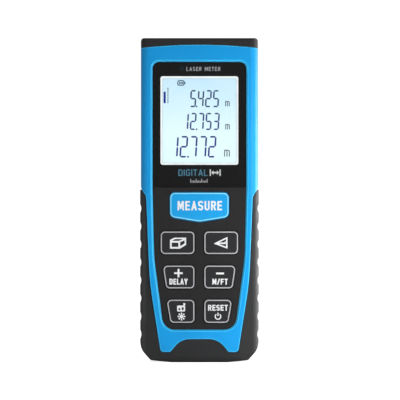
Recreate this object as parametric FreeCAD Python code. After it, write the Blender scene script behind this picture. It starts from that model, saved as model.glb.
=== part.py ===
import FreeCAD, Part
import math
import os

# Handheld laser distance meter, standing on its rear datum edge, in millimetres.
# X is the width, Y the depth with the display facing -Y, and Z the length.
# The origin is the middle of the bottom face.

Vector = FreeCAD.Vector
ALONG_Y = Vector(0, 1, 0)
ALONG_Z = Vector(0, 0, 1)
PAST = 1.0
TINY = 0.001
CREASE_ANGLE = math.radians(30)

# Overall size
LENGTH = 118.0
HALF_WIDTH = 21.6
CASE_HALF_WIDTH = 21.3
FRONT = -13.0
REAR = 13.0
PARTING = 0.0
WALL = 2.0
FRONT_WALL = 2.2
FRONT_INSIDE = FRONT + FRONT_WALL
REAR_INSIDE = REAR - WALL
SIDE_ROUND = 3.0
BOTTOM_ROUND = 2.5
TOP_ROUND = 1.2
EDGE_ROUND = 0.25
SEAM_ROUND = 0.15

# Right side of the case outline: x, z and rounding radius of each corner, from the top down
CASE_TOP = (CASE_HALF_WIDTH, LENGTH, TOP_ROUND)
CASE_SIDE_FOOT = (CASE_HALF_WIDTH, 63.9, 0.0)
CASE_SHOULDER = (20.95, 62.8, 0.0)
CASE_WAIST = (19.4, 60.4, 4.0)
CASE_BEND = (18.1, 29.0, 110.0)
LEG_OUTER = (14.1, 3.8, 1.3)
LEG_INNER = (10.6, 3.8, 1.0)
ARCH = (6.7, 8.5, 7.0)
CASE_FLOOR = LEG_OUTER[1]
ARCH_FLOOR = ARCH[1] + WALL

# Rounding of the hollow's corners, in the order of the case outline
HOLLOW_ROUNDS = (0.5, 1.0, 3.0, 100.0, 1.5)

# Top seam, an arc that is highest in the middle
SEAM_MIDDLE = 115.6
SEAM_SIDE = 114.3

# Rubber grip
GRIP_SET_BACK = 0.3
GRIP_TOP = 62.9
GRIP_CORNERS = [
    (HALF_WIDTH, GRIP_TOP, 0.3),
    (HALF_WIDTH, 7.4, 0.0),
    (21.25, 4.7, 6.0),
    (17.75, 0.8, 1.5),
    (10.0, 0.0, 0.0),
]
# Outside the crown's start the front of the grip falls back, by the drop at its outer edge
CROWN_START = 14.8
CROWN_DROP = 1.2
CROWN_ROUND = 6.0
GROOVE_COUNT = 8
GROOVE_PITCH = 6.55
GROOVE_LOWEST = 10.2
GROOVE_RADIUS = 3.3
GROOVE_DEPTH = 0.42

# Front panel: the lens above and the keypad below
PANEL_HALF_WIDTH = 17.0
PANEL_TOP = 109.3
PANEL_SPLIT = 63.7
PANEL_SPLIT_ROUND = 40.0
PANEL_BEND = (16.4, 38.0, 60.0)
PANEL_FOOT = (12.95, 12.0, 4.6)
PANEL_TOP_ROUND = 2.5
PANEL_GAP = 0.1
RIM_BEVEL = 0.5
LEDGE_FACE = -11.7
LEDGE_WIDTH = 1.2
LENS_FACE = -12.8
KEYPAD_FACE = -12.5
MASK_THICKNESS = 0.1
SPLIT_GAP = 0.06

# Display
WINDOW_HALF_WIDTH = 14.15
WINDOW_BOTTOM = 71.9
WINDOW_TOP = 104.1
WINDOW_ROUND = 0.8
LCD_HALF_WIDTH = 15.6
LCD_BOTTOM = 70.4
LCD_TOP = 105.6
GASKET_THICKNESS = 0.3
LCD_THICKNESS = 1.6
LIGHT_GUIDE_MARGIN = 0.5
STRIP_MARGIN = 2.0
STRIP_BOTTOM = LCD_BOTTOM + 0.3
STRIP_TOP = LCD_BOTTOM + 2.3
LCD_FACE = FRONT_INSIDE + GASKET_THICKNESS
LCD_BACK = LCD_FACE + LCD_THICKNESS

# Circuit board
BOARD_FACE = -7.2
BOARD_THICKNESS = 1.2
BOARD_BACK = BOARD_FACE + BOARD_THICKNESS
BOARD_TOP = 112.0
BOARD_GAP = 0.6

# Keys: each outline is its corners, x, z and rounding radius, clockwise from the top left
KEY_FACE = -12.9
KEY_TRAVEL = 0.4
KEY_GAP = 0.25
FLANGE_WIDTH = 0.45
FLANGE_THICKNESS = 0.35
STOP_GAP = 0.05
FLANGE_FACE = LEDGE_FACE + STOP_GAP
FLANGE_BACK = FLANGE_FACE + FLANGE_THICKNESS
STEM_RADIUS = 1.6
STEM_GAP = 0.3
DOME_RADIUS = 2.5
DOME_HEIGHT = 0.35
DOME_SHEET = 0.12
DOME_GAP = 0.15
STEM_END = BOARD_FACE - DOME_HEIGHT - DOME_GAP - KEY_TRAVEL
MAT_FACE = -10.5
MAT_BACK = -9.7
KEY_EDGE_ROUND = 0.25
KEY_ROUND = 1.7
KEY_INNER = 1.65
MAIN_KEY_CORNERS = [
    (-10.75, 61.85, 1.9),
    (10.75, 61.85, 1.9),
    (10.75, 52.85, 2.1),
    (0.0, 51.1, 6.0),
    (-10.75, 52.85, 2.1),
]
# Each row of small keys: top, bottom, outer edge at the top, outer edge at the bottom
KEY_ROWS = [(47.8, 39.3, 14.2, 14.2), (35.4, 26.8, 13.45, 12.2), (23.0, 14.3, 12.1, 10.65)]
KEY_NAMES = [("key_area", "key_indirect"), ("key_plus", "key_minus"), ("key_reference", "key_clear")]

# Battery compartment and its two cells
CELL_RADIUS = 5.25
CELL_BODY = 43.5
CELL_RIM_ROUND = 0.4
CELL_NUB_RADIUS = 1.9
CELL_NUB = 1.0
CELL_SPACING = 5.6
CELL_Y = 5.3
BAY_HALF_WIDTH = 11.2
BAY_WALL = 1.2
BAY_FRONT = CELL_Y - CELL_RADIUS - 0.2
BAY_FLOOR = 1.0
BAY_BOTTOM = 13.0
CONTACT_THICKNESS = 0.4
DIMPLE = 0.9
DIMPLE_RADIUS = 1.6
DIMPLE_TIP_RADIUS = 1.0
SPRING_LENGTH = 2.6
BAY_TOP = BAY_BOTTOM + 2 * CONTACT_THICKNESS + SPRING_LENGTH + CELL_BODY + CELL_NUB + DIMPLE
SPRING_TURNS = 3.0
SPRING_WIRE = 0.25
SPRING_WIDE = 3.2
SPRING_NARROW = 2.4
SPRING_SIDES = 8
CONTACT_HALF_WIDTH = 4.6
CONTACT_REAR = 3.6
CONTACT_SPLIT = 1.0

# Battery door, hinged on a barrel along its lower edge
DOOR_HALF_WIDTH = 12.4
DOOR_THICKNESS = 1.6
DOOR_TOP = 64.6
DOOR_GAP = 0.3
HINGE_Y = REAR - DOOR_THICKNESS
HINGE_Z = 12.6
PIN_RADIUS = 0.8
PIN_LENGTH = 1.4
PIN_FIT = 0.06
CHEEK_WIDTH = 1.8
TONGUE_HALF_WIDTH = 4.0
TONGUE_LENGTH = 1.2
TONGUE_FACE = 11.7
TONGUE_BACK = 12.6
SCOOP_RADIUS = 5.0
SCOOP_DEPTH = 1.5
SCOOP_RISE = 1.5
RIDGE_COUNT = 4
RIDGE_PITCH = 2.2
RIDGE_WIDTH = 0.9
RIDGE_DEPTH = 0.3
RIDGE_HALF_LENGTH = 6.0
RIDGE_DROP = 7.0
PAD_THICKNESS = 0.5
PAD_HALF_WIDTH = 7.0
PAD_BOTTOM = 30.0
PAD_TOP = 48.0

# Case screws
SCREW_PLACES = [(-16.9, 109.0), (16.9, 109.0), (-11.6, 7.2), (11.6, 7.2)]
SCREW_SEAT = 4.0
SCREW_HEAD_RADIUS = 2.0
SCREW_HEAD = 1.5
SCREW_SHANK_RADIUS = 0.95
SCREW_TIP = -6.5
SCREW_CLEAR = 0.3
BOSS_RADIUS = 2.5
REAR_BOSS_RADIUS = 3.3
SLOT_WIDTH = 0.5
SLOT_DEPTH = 0.7
SLOT_MARGIN = 0.7
HEAD_ROUND_SHARE = 0.35

# Optics
OPTICS_Y = 3.0
EMITTER_X = -9.2
RECEIVER_X = 5.6
EMITTER_WINDOW_RADIUS = 3.4
RECEIVER_WINDOW_RADIUS = 8.2
WINDOW_THICKNESS = 1.0
WINDOW_RECESS = 0.25
WINDOW_LEDGE = 0.9
BLOCK_TOP = 113.6
BLOCK_BOTTOM = 88.0
RECEIVER_TUBE_RADIUS = 7.6
RECEIVER_BORE = 6.6
RECEIVER_THROAT = 2.9
EMITTER_TUBE_RADIUS = 4.0
LASER_TUBE_RADIUS = 3.0
LASER_TUBE_BORE = 2.3
LASER_TUBE_BOTTOM = 99.0
LASER_TUBE_TOP = 112.6
LUG_PLACES = [(-17.2, 95.0), (17.2, 95.0)]
LUG_RADIUS = 1.8
LUG_THICKNESS = 2.0
LUG_BOSS_RADIUS = 1.4
LUG_SHANK_RADIUS = 0.75
LUG_HEAD_RADIUS = 1.5
LUG_HEAD = 1.1
LUG_TIP = FRONT_INSIDE + 0.6
BRACKET_HALF_WIDTH = 13.0
BRACKET_MARGIN = 1.0
BRACKET_TOP = BLOCK_TOP - 3.0
EMITTER_TUBE_BOTTOM = LASER_TUBE_BOTTOM - 3.0
WEB_THICKNESS = 4.0
RIB_THICKNESS = 2.0
CONE_TOP = BLOCK_TOP - 6.0
CONE_STEP = 0.5

# Lenses: rim thickness and bulge
COLLIMATOR_SEAT = LASER_TUBE_TOP - 2.5
COLLIMATOR_RIM = 1.2
COLLIMATOR_BULGE = 0.5
RECEIVER_SEAT = BLOCK_TOP - 4.0
RECEIVER_RIM = 1.5
RECEIVER_BULGE = 1.4

# Laser diode and light detector: metal cans with a flange and three leads
CAN_RADIUS = 2.2
CAN_HEIGHT = 2.4
FLANGE_OVERHANG = 0.5
FLANGE_HEIGHT = 0.4
LEAD_COUNT = 3
LEAD_RADIUS = 0.22
LEAD_CIRCLE = 1.0
LEAD_LENGTH = 3.0
DETECTOR_TOP = 87.9
DETECTOR_BOARD_BOTTOM = 84.0
DETECTOR_BOARD_THICKNESS = 1.0
DETECTOR_BOARD_HALF_WIDTH = 7.0
DETECTOR_BOARD_HALF_DEPTH = 6.2
LEAD_HOLE_RADIUS = 0.3

# Parts on the back of the main board: middle x and z, and sizes
PROCESSOR_PLACE = (8.0, 75.0)
PROCESSOR_SIDE = 10.0
PROCESSOR_HEIGHT = 1.4
PROCESSOR_PINS = 12
PIN_PITCH = 0.8
PIN_WIDTH = 0.3
PIN_REACH = 1.0
CHIP_FIRST_X = -14.0
CHIP_ROWS = (65.0, 67.0)
CHIP_COUNT = 9
CHIP_PITCH = 3.2
CHIP_SIZE = (1.6, 0.6, 0.8)
CRYSTAL_PLACE = (-7.5, 85.25)
CRYSTAL_SIZE = (11.0, 3.2, 3.5)
CRYSTAL_ROUND = 1.6
BUZZER_PLACE = (-7.0, 30.0)
BUZZER_RADIUS = 4.8
BUZZER_HEIGHT = 3.8
SOUND_HOLE_RADIUS = 0.8
SOUND_HOLE_DEPTH = 1.3
SHIELD_PLACE = (-7.5, 76.0)
SHIELD_SIZE = (13.0, 2.4, 12.0)
SHIELD_SHEET = 0.2

# Rear label, a plain film in a shallow recess
LABEL_HALF_WIDTH = 13.0
LABEL_BOTTOM = 73.0
LABEL_TOP = 99.0
LABEL_ROUND = 1.5
LABEL_RECESS = 0.3
LABEL_THICKNESS = 0.15
LABEL_GAP = 0.2


def box(x0, x1, y0, y1, z0, z1):
    return Part.makeBox(x1 - x0, y1 - y0, z1 - z0, Vector(x0, y0, z0))


def rod_x(radius, y, z, x0, x1):
    return Part.makeCylinder(radius, x1 - x0, Vector(x0, y, z), Vector(1, 0, 0))


def rod_y(radius, x, z, y0, y1):
    return Part.makeCylinder(radius, y1 - y0, Vector(x, y0, z), ALONG_Y)


def rod_z(radius, x, y, z0, z1):
    return Part.makeCylinder(radius, z1 - z0, Vector(x, y, z0), ALONG_Z)


def joined(shapes):
    first, *rest = shapes
    return first.fuse(rest).removeSplitter() if rest else first


def group(shapes):
    return Part.makeCompound(shapes)


def rounded_wire(corners, y):
    """A closed outline in the plane at y, with an arc at each corner that has a radius."""
    places = [Vector(x, y, z) for x, z, _ in corners]
    edges = []
    last_end = None
    first_start = None
    for index, corner in enumerate(places):
        radius = corners[index][2]
        back = (places[index - 1] - corner).normalize()
        ahead = (places[(index + 1) % len(places)] - corner).normalize()
        half_angle = back.getAngle(ahead) / 2
        start = corner + back * (radius / math.tan(half_angle))
        end = corner + ahead * (radius / math.tan(half_angle))
        if last_end is None:
            first_start = start
        else:
            edges.append(Part.LineSegment(last_end, start).toShape())
        if radius > 0:
            bisector = (back + ahead).normalize()
            middle = corner + bisector * (radius / math.sin(half_angle) - radius)
            edges.append(Part.Arc(start, middle, end).toShape())
        last_end = end
    edges.append(Part.LineSegment(last_end, first_start).toShape())
    return Part.Wire(edges)


def plate(corners, y0, y1):
    """The outline as a solid from y0 to y1."""
    return Part.Face(rounded_wire(corners, y0)).extrude(Vector(0, y1 - y0, 0))


def crease_edges(shape, y0, y1):
    """The edges that lie between y0 and y1 where two faces meet at a crease."""
    found = []
    for edge in shape.Edges:
        if edge.BoundBox.YMin < y0 - TINY or edge.BoundBox.YMax > y1 + TINY:
            continue
        middle = edge.valueAt((edge.FirstParameter + edge.LastParameter) / 2)
        normals = [
            face.normalAt(*face.Surface.parameter(middle)) for face in shape.ancestorsOfType(edge, Part.Face)
        ]
        if len(normals) == 2 and normals[0].getAngle(normals[1]) > CREASE_ANGLE:
            found.append(edge)
    return found


def softened(shape, radius, *planes):
    """The shape with its creases in each of the planes at y rounded off."""
    return shape.makeFillet(radius, [edge for y in planes for edge in crease_edges(shape, y, y)])


def mirrored(right_side):
    """A whole outline from its right side, which is listed from the top down."""
    return right_side + [(-x, z, radius) for x, z, radius in reversed(right_side)]


def grown(corners, distance):
    """A convex outline with every side moved out by the distance."""
    middle_x = sum(x for x, _, _ in corners) / len(corners)
    middle_z = sum(z for _, z, _ in corners) / len(corners)
    result = []
    for index, (x, z, radius) in enumerate(corners):
        corner = Vector(x, 0, z)
        back = (Vector(corners[index - 1][0], 0, corners[index - 1][1]) - corner).normalize()
        following = corners[(index + 1) % len(corners)]
        ahead = (Vector(following[0], 0, following[1]) - corner).normalize()
        half_angle = back.getAngle(ahead) / 2
        outward = (back + ahead).normalize() * (-distance / math.sin(half_angle))
        toward_middle = Vector(middle_x - x, 0, middle_z - z)
        if outward.dot(toward_middle) * distance > 0:
            outward = outward * -1
        moved = corner + outward
        result.append((moved.x, moved.z, max(radius + distance, 0)))
    return result


def rounded_length(half_width, front, rear):
    """A block with rounded long edges."""
    block = box(-half_width, half_width, front, rear, 0, LENGTH)
    uprights = [edge for edge in block.Edges if edge.BoundBox.ZLength > LENGTH / 2]
    return block.makeFillet(SIDE_ROUND, uprights)


def rounded_ends(half_width, front, rear):
    """A block with its end edges rounded."""
    block = box(-half_width - PAST, half_width + PAST, front, rear, 0, LENGTH)
    crosswise = [edge for edge in block.Edges if edge.BoundBox.XLength > half_width]
    lower = [edge for edge in crosswise if edge.BoundBox.ZMax < PAST]
    block = block.makeFillet(BOTTOM_ROUND, lower)
    upper = [
        edge
        for edge in block.Edges
        if edge.BoundBox.XLength > half_width and edge.BoundBox.ZMin > LENGTH - PAST
    ]
    return block.makeFillet(TOP_ROUND, upper)


def case_envelope():
    """A block with the rounded long edges and end edges that the case and the cap share."""
    return rounded_length(CASE_HALF_WIDTH, FRONT, REAR).common(rounded_ends(CASE_HALF_WIDTH, FRONT, REAR))


def grip_envelope(front, rear):
    """The same for the grip, with the crowned front."""
    section = [
        (CROWN_START, -front, CROWN_ROUND),
        (HALF_WIDTH, -front - CROWN_DROP, SIDE_ROUND),
        (HALF_WIDTH, -rear, SIDE_ROUND),
    ]
    length = plate(mirrored(section), 0, LENGTH)
    length.rotate(Vector(0, 0, 0), Vector(1, 0, 0), 90)
    return length.common(rounded_ends(HALF_WIDTH, front, rear))


def above_seam():
    """Everything above the curved top seam."""
    left = Vector(-CASE_HALF_WIDTH - PAST, FRONT - PAST, SEAM_SIDE)
    middle = Vector(0, FRONT - PAST, SEAM_MIDDLE)
    right = Vector(CASE_HALF_WIDTH + PAST, FRONT - PAST, SEAM_SIDE)
    high_right = Vector(right.x, right.y, LENGTH + PAST)
    high_left = Vector(left.x, left.y, LENGTH + PAST)
    edges = [
        Part.Arc(left, middle, right).toShape(),
        Part.LineSegment(right, high_right).toShape(),
        Part.LineSegment(high_right, high_left).toShape(),
        Part.LineSegment(high_left, left).toShape(),
    ]
    return Part.Face(Part.Wire(edges)).extrude(Vector(0, REAR - FRONT + 2 * PAST, 0))


def case_side():
    return [CASE_TOP, CASE_SIDE_FOOT, CASE_SHOULDER, CASE_WAIST, CASE_BEND]


def front_corners():
    return mirrored(case_side() + [LEG_OUTER, LEG_INNER, ARCH])


def rear_corners():
    return mirrored(case_side() + [LEG_OUTER])


def inner_corners(gap, top, floor):
    """The case outline moved in by the gap, between a flat top and a flat floor."""
    slope = (CASE_BEND[0] - LEG_OUTER[0]) / (CASE_BEND[1] - LEG_OUTER[1])
    foot = LEG_OUTER[0] + slope * (floor - LEG_OUTER[1])
    return mirrored(
        [
            (CASE_HALF_WIDTH - gap, top, HOLLOW_ROUNDS[0]),
            (CASE_HALF_WIDTH - gap, CASE_SIDE_FOOT[1], HOLLOW_ROUNDS[1]),
            (CASE_WAIST[0] - gap, CASE_WAIST[1], HOLLOW_ROUNDS[2]),
            (CASE_BEND[0] - gap, CASE_BEND[1], HOLLOW_ROUNDS[3]),
            (foot - gap, floor, HOLLOW_ROUNDS[4]),
        ]
    )


def panel_corners(gap):
    """The whole black panel, moved in by the gap."""
    return mirrored(
        [
            (PANEL_HALF_WIDTH - gap, PANEL_TOP - gap, PANEL_TOP_ROUND - gap / 2),
            (PANEL_HALF_WIDTH - gap, PANEL_SPLIT, PANEL_SPLIT_ROUND),
            (PANEL_BEND[0] - gap, PANEL_BEND[1], PANEL_BEND[2]),
            (PANEL_FOOT[0] - gap, PANEL_FOOT[1] + gap, PANEL_FOOT[2] - gap),
        ]
    )


def small_key_corners(row, side):
    """One small key; side is -1 for the left column and 1 for the right."""
    top, bottom, outer_top, outer_bottom = KEY_ROWS[row]
    corners = [
        (side * KEY_INNER, top, KEY_ROUND),
        (side * outer_top, top, KEY_ROUND),
        (side * outer_bottom, bottom, KEY_ROUND),
        (side * KEY_INNER, bottom, KEY_ROUND),
    ]
    return corners if side > 0 else list(reversed(corners))


def key_outlines():
    """Every key's name and outline."""
    outlines = {"key_measure": MAIN_KEY_CORNERS}
    for row, (left_name, right_name) in enumerate(KEY_NAMES):
        outlines[left_name] = small_key_corners(row, -1)
        outlines[right_name] = small_key_corners(row, 1)
    return outlines


def key_centre(corners):
    xs = [x for x, _, _ in corners]
    zs = [z for _, z, _ in corners]
    return (min(xs) + max(xs)) / 2, (min(zs) + max(zs)) / 2


def front_case():
    skin = plate(front_corners(), FRONT, PARTING)
    skin = skin.common(case_envelope()).cut(above_seam())
    skin = softened(skin, EDGE_ROUND, FRONT)
    hollow = plate(inner_corners(WALL, LENGTH + PAST, ARCH_FLOOR), FRONT_INSIDE, PARTING)
    bosses = [rod_y(BOSS_RADIUS, x, z, FRONT_INSIDE, PARTING) for x, z in SCREW_PLACES[:2]]
    bosses += [rod_y(LUG_BOSS_RADIUS, x, z, FRONT_INSIDE, BOARD_FACE) for x, z in LUG_PLACES]
    shell = skin.cut(hollow).fuse([boss.common(skin) for boss in bosses])
    bevel = Part.makeLoft(
        [
            rounded_wire(panel_corners(-PANEL_GAP - RIM_BEVEL), FRONT),
            rounded_wire(panel_corners(-PANEL_GAP), FRONT + RIM_BEVEL),
        ],
        True,
        True,
    )
    recess = plate(panel_corners(-PANEL_GAP), FRONT - PAST, LEDGE_FACE)
    shell = shell.cut([bevel, recess])
    lens_opening = box(
        -WINDOW_HALF_WIDTH - WINDOW_LEDGE + PANEL_GAP,
        WINDOW_HALF_WIDTH + WINDOW_LEDGE - PANEL_GAP,
        FRONT,
        FRONT_INSIDE + PAST,
        WINDOW_BOTTOM - WINDOW_LEDGE,
        WINDOW_TOP + WINDOW_LEDGE,
    )
    below_split = box(
        -HALF_WIDTH, HALF_WIDTH, FRONT, REAR, 0, PANEL_SPLIT - LEDGE_WIDTH
    )
    key_opening = plate(panel_corners(LEDGE_WIDTH), FRONT, FRONT_INSIDE + PAST).common(below_split)
    pilots = [rod_y(SCREW_SHANK_RADIUS, x, z, SCREW_TIP - PAST, PARTING) for x, z in SCREW_PLACES]
    pilots += [rod_y(LUG_SHANK_RADIUS, x, z, FRONT_INSIDE, BOARD_FACE) for x, z in LUG_PLACES]
    return shell.cut([lens_opening, key_opening] + pilots)


def battery_bay():
    """The open-backed compartment moulded into the rear case."""
    outside = box(
        -BAY_HALF_WIDTH - BAY_WALL,
        BAY_HALF_WIDTH + BAY_WALL,
        BAY_FRONT - BAY_FLOOR,
        REAR_INSIDE,
        BAY_BOTTOM - BAY_WALL,
        BAY_TOP + BAY_WALL,
    )
    inside = box(-BAY_HALF_WIDTH, BAY_HALF_WIDTH, BAY_FRONT, REAR, BAY_BOTTOM, BAY_TOP)
    return outside, inside


def rear_case():
    skin = plate(rear_corners(), PARTING, REAR)
    skin = skin.common(case_envelope()).cut(above_seam())
    skin = softened(skin, EDGE_ROUND, REAR)
    hollow = plate(inner_corners(WALL, LENGTH + PAST, CASE_FLOOR + WALL), PARTING, REAR_INSIDE)
    bay_outside, bay_inside = battery_bay()
    bosses = [rod_y(REAR_BOSS_RADIUS, x, z, PARTING, REAR_INSIDE).common(skin) for x, z in SCREW_PLACES]
    cheeks = [
        box(
            min(side * (DOOR_HALF_WIDTH + DOOR_GAP), side * (DOOR_HALF_WIDTH + DOOR_GAP + CHEEK_WIDTH)),
            max(side * (DOOR_HALF_WIDTH + DOOR_GAP), side * (DOOR_HALF_WIDTH + DOOR_GAP + CHEEK_WIDTH)),
            HINGE_Y - 2 * PIN_RADIUS - DOOR_GAP,
            REAR_INSIDE,
            HINGE_Z - 2 * PIN_RADIUS,
            HINGE_Z + 2 * PIN_RADIUS,
        )
        for side in (-1, 1)
    ]
    shell = skin.cut(hollow).fuse(bosses + cheeks + [bay_outside])
    reach = DOOR_HALF_WIDTH + DOOR_GAP
    swing = DOOR_THICKNESS + DOOR_GAP
    cuts = [
        bay_inside,
        rod_x(swing, HINGE_Y, HINGE_Z, -reach, reach),
        box(-reach, reach, HINGE_Y - DOOR_GAP, REAR + PAST, HINGE_Z - swing, DOOR_TOP + DOOR_GAP),
        rod_x(PIN_RADIUS + PIN_FIT, HINGE_Y, HINGE_Z, -reach - PIN_LENGTH, reach + PIN_LENGTH),
        box(
            -TONGUE_HALF_WIDTH - DOOR_GAP,
            TONGUE_HALF_WIDTH + DOOR_GAP,
            TONGUE_FACE - DOOR_GAP,
            REAR + PAST,
            DOOR_TOP,
            DOOR_TOP + TONGUE_LENGTH + DOOR_GAP,
        ),
        rod_x(
            SCOOP_RADIUS,
            REAR + SCOOP_RADIUS - SCOOP_DEPTH,
            DOOR_TOP + TONGUE_LENGTH + SCOOP_RISE,
            -TONGUE_HALF_WIDTH - DOOR_GAP,
            TONGUE_HALF_WIDTH + DOOR_GAP,
        ),
        plate(label_corners(0), REAR - LABEL_RECESS, REAR + PAST),
    ]
    for x, z in SCREW_PLACES:
        cuts.append(rod_y(SCREW_HEAD_RADIUS + SCREW_CLEAR, x, z, SCREW_SEAT, REAR + PAST))
        cuts.append(rod_y(SCREW_SHANK_RADIUS, x, z, PARTING, SCREW_SEAT))
    return shell.cut(cuts)


def grip_overmould():
    front = FRONT + GRIP_SET_BACK
    rear = REAR - GRIP_SET_BACK
    skin = plate(mirrored(GRIP_CORNERS), front, rear).common(grip_envelope(front, rear))
    cuts = [plate(front_corners(), FRONT - PAST, PARTING), plate(rear_corners(), PARTING, REAR + PAST)]
    groove_x = HALF_WIDTH + GROOVE_RADIUS - GROOVE_DEPTH
    for index in range(GROOVE_COUNT):
        z = GROOVE_LOWEST + index * GROOVE_PITCH
        cuts += [rod_y(GROOVE_RADIUS, side * groove_x, z, FRONT, REAR) for side in (-1, 1)]
    skin = skin.cut(cuts)
    creases = crease_edges(skin, front, front + CROWN_DROP) + crease_edges(skin, rear, rear)
    return skin.makeFillet(EDGE_ROUND, creases)


def nose_cap():
    outline = [CASE_TOP, (CASE_HALF_WIDTH, SEAM_SIDE - PAST, 0)]
    skin = plate(mirrored(outline), FRONT, REAR)
    skin = skin.common(case_envelope()).common(above_seam())
    skin = softened(skin, SEAM_ROUND, FRONT, REAR)
    half_width = CASE_HALF_WIDTH - WALL - PANEL_GAP
    skirt_bottom = SEAM_SIDE - WALL
    skirt = box(
        -half_width,
        half_width,
        FRONT_INSIDE + PANEL_GAP,
        REAR_INSIDE - PANEL_GAP,
        skirt_bottom,
        LENGTH - WALL,
    )
    skirt_inside = box(
        -half_width + BAY_WALL,
        half_width - BAY_WALL,
        FRONT_INSIDE + PANEL_GAP + BAY_WALL,
        REAR_INSIDE - PANEL_GAP - BAY_WALL,
        skirt_bottom - PAST,
        SEAM_SIDE,
    )
    cuts = [rod_z(RECEIVER_TUBE_RADIUS + PANEL_GAP, RECEIVER_X, OPTICS_Y, skirt_bottom - PAST, SEAM_SIDE)]
    for x, radius in ((EMITTER_X, EMITTER_WINDOW_RADIUS), (RECEIVER_X, RECEIVER_WINDOW_RADIUS)):
        seat = LENGTH - WINDOW_RECESS - WINDOW_THICKNESS
        cuts.append(rod_z(radius + PANEL_GAP, x, OPTICS_Y, seat, LENGTH + PAST))
        cuts.append(rod_z(radius - WINDOW_LEDGE, x, OPTICS_Y, SEAM_SIDE - PAST, seat))
    return skin.fuse(skirt.cut(skirt_inside)).cut(cuts)


def end_window(x, radius):
    top = LENGTH - WINDOW_RECESS
    return rod_z(radius, x, OPTICS_Y, top - WINDOW_THICKNESS, top)


def display_lens():
    whole = plate(panel_corners(0), LENS_FACE, LEDGE_FACE - MASK_THICKNESS)
    return whole.common(box(-HALF_WIDTH, HALF_WIDTH, FRONT, 0, PANEL_SPLIT + SPLIT_GAP, LENGTH))


def window_corners(gap):
    half_width = WINDOW_HALF_WIDTH + gap
    return mirrored(
        [(half_width, WINDOW_TOP + gap, WINDOW_ROUND), (half_width, WINDOW_BOTTOM - gap, WINDOW_ROUND)]
    )


def display_mask():
    whole = plate(panel_corners(0), LEDGE_FACE - MASK_THICKNESS, LEDGE_FACE)
    whole = whole.common(box(-HALF_WIDTH, HALF_WIDTH, FRONT, 0, PANEL_SPLIT + SPLIT_GAP, LENGTH))
    return whole.cut(plate(window_corners(0), FRONT, 0))


def keypad_panel():
    whole = plate(panel_corners(0), KEYPAD_FACE, LEDGE_FACE)
    whole = whole.common(box(-HALF_WIDTH, HALF_WIDTH, FRONT, 0, 0, PANEL_SPLIT - SPLIT_GAP))
    return whole.cut([plate(grown(corners, KEY_GAP), FRONT, 0) for corners in key_outlines().values()])


def keypad_mat():
    below_split = box(-HALF_WIDTH, HALF_WIDTH, FRONT, REAR, 0, PANEL_SPLIT - WINDOW_LEDGE)
    sheet = plate(panel_corners(LEDGE_WIDTH / 2), FRONT_INSIDE, MAT_BACK).common(below_split)
    pocket = plate(panel_corners(LEDGE_WIDTH), FRONT_INSIDE, MAT_FACE)
    pocket = pocket.common(box(-HALF_WIDTH, HALF_WIDTH, FRONT, REAR, 0, PANEL_SPLIT - LEDGE_WIDTH))
    holes = []
    for corners in key_outlines().values():
        x, z = key_centre(corners)
        holes.append(rod_y(STEM_RADIUS + STEM_GAP, x, z, FRONT, 0))
    return sheet.cut([pocket] + holes)


def key(corners):
    x, z = key_centre(corners)
    cap = softened(plate(corners, KEY_FACE, FLANGE_FACE), KEY_EDGE_ROUND, KEY_FACE)
    flange = plate(grown(corners, FLANGE_WIDTH), FLANGE_FACE, FLANGE_BACK)
    stem = rod_y(STEM_RADIUS, x, z, FLANGE_BACK, STEM_END)
    return joined([cap, flange, stem])


def dome(x, z):
    """A thin snap dome that stands on the board, bulging towards the key."""
    ball_radius = (DOME_RADIUS**2 + DOME_HEIGHT**2) / (2 * DOME_HEIGHT)
    centre = Vector(x, BOARD_FACE - DOME_HEIGHT + ball_radius, z)
    outer = Part.makeSphere(ball_radius, centre)
    inner = Part.makeSphere(ball_radius - DOME_SHEET, centre)
    slice_ahead = rod_y(DOME_RADIUS, x, z, BOARD_FACE - 1, BOARD_FACE)
    return outer.cut(inner).common(slice_ahead)


def key_domes():
    return group([dome(*key_centre(corners)) for corners in key_outlines().values()])


def main_board():
    outline = inner_corners(WALL + BOARD_GAP, BOARD_TOP, ARCH_FLOOR + BOARD_GAP)
    board = plate(outline, BOARD_FACE, BOARD_BACK)
    boss_x, boss_z = SCREW_PLACES[1]
    reach = BOSS_RADIUS + BOARD_GAP
    notches = [
        box(boss_x - reach, HALF_WIDTH, FRONT, 0, boss_z - reach, LENGTH),
        box(-HALF_WIDTH, reach - boss_x, FRONT, 0, boss_z - reach, LENGTH),
    ]
    holes = [rod_y(LUG_SHANK_RADIUS, x, z, FRONT, 0) for x, z in LUG_PLACES]
    return board.cut(notches + holes)


def lcd_gasket():
    frame = box(-LCD_HALF_WIDTH, LCD_HALF_WIDTH, FRONT_INSIDE, LCD_FACE, LCD_BOTTOM, LCD_TOP)
    opening = box(
        -WINDOW_HALF_WIDTH - WINDOW_LEDGE,
        WINDOW_HALF_WIDTH + WINDOW_LEDGE,
        FRONT,
        0,
        WINDOW_BOTTOM - WINDOW_LEDGE,
        WINDOW_TOP + WINDOW_LEDGE,
    )
    return frame.cut(opening)


def lcd_cell():
    return box(-LCD_HALF_WIDTH, LCD_HALF_WIDTH, LCD_FACE, LCD_BACK, LCD_BOTTOM, LCD_TOP)


def lcd_backlight():
    half_width = LCD_HALF_WIDTH - LIGHT_GUIDE_MARGIN
    bottom = STRIP_TOP + LIGHT_GUIDE_MARGIN
    return box(-half_width, half_width, LCD_BACK, BOARD_FACE, bottom, LCD_TOP - LIGHT_GUIDE_MARGIN)


def lcd_contact_strip():
    half_width = LCD_HALF_WIDTH - STRIP_MARGIN
    return box(-half_width, half_width, LCD_BACK, BOARD_FACE, STRIP_BOTTOM, STRIP_TOP)


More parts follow.
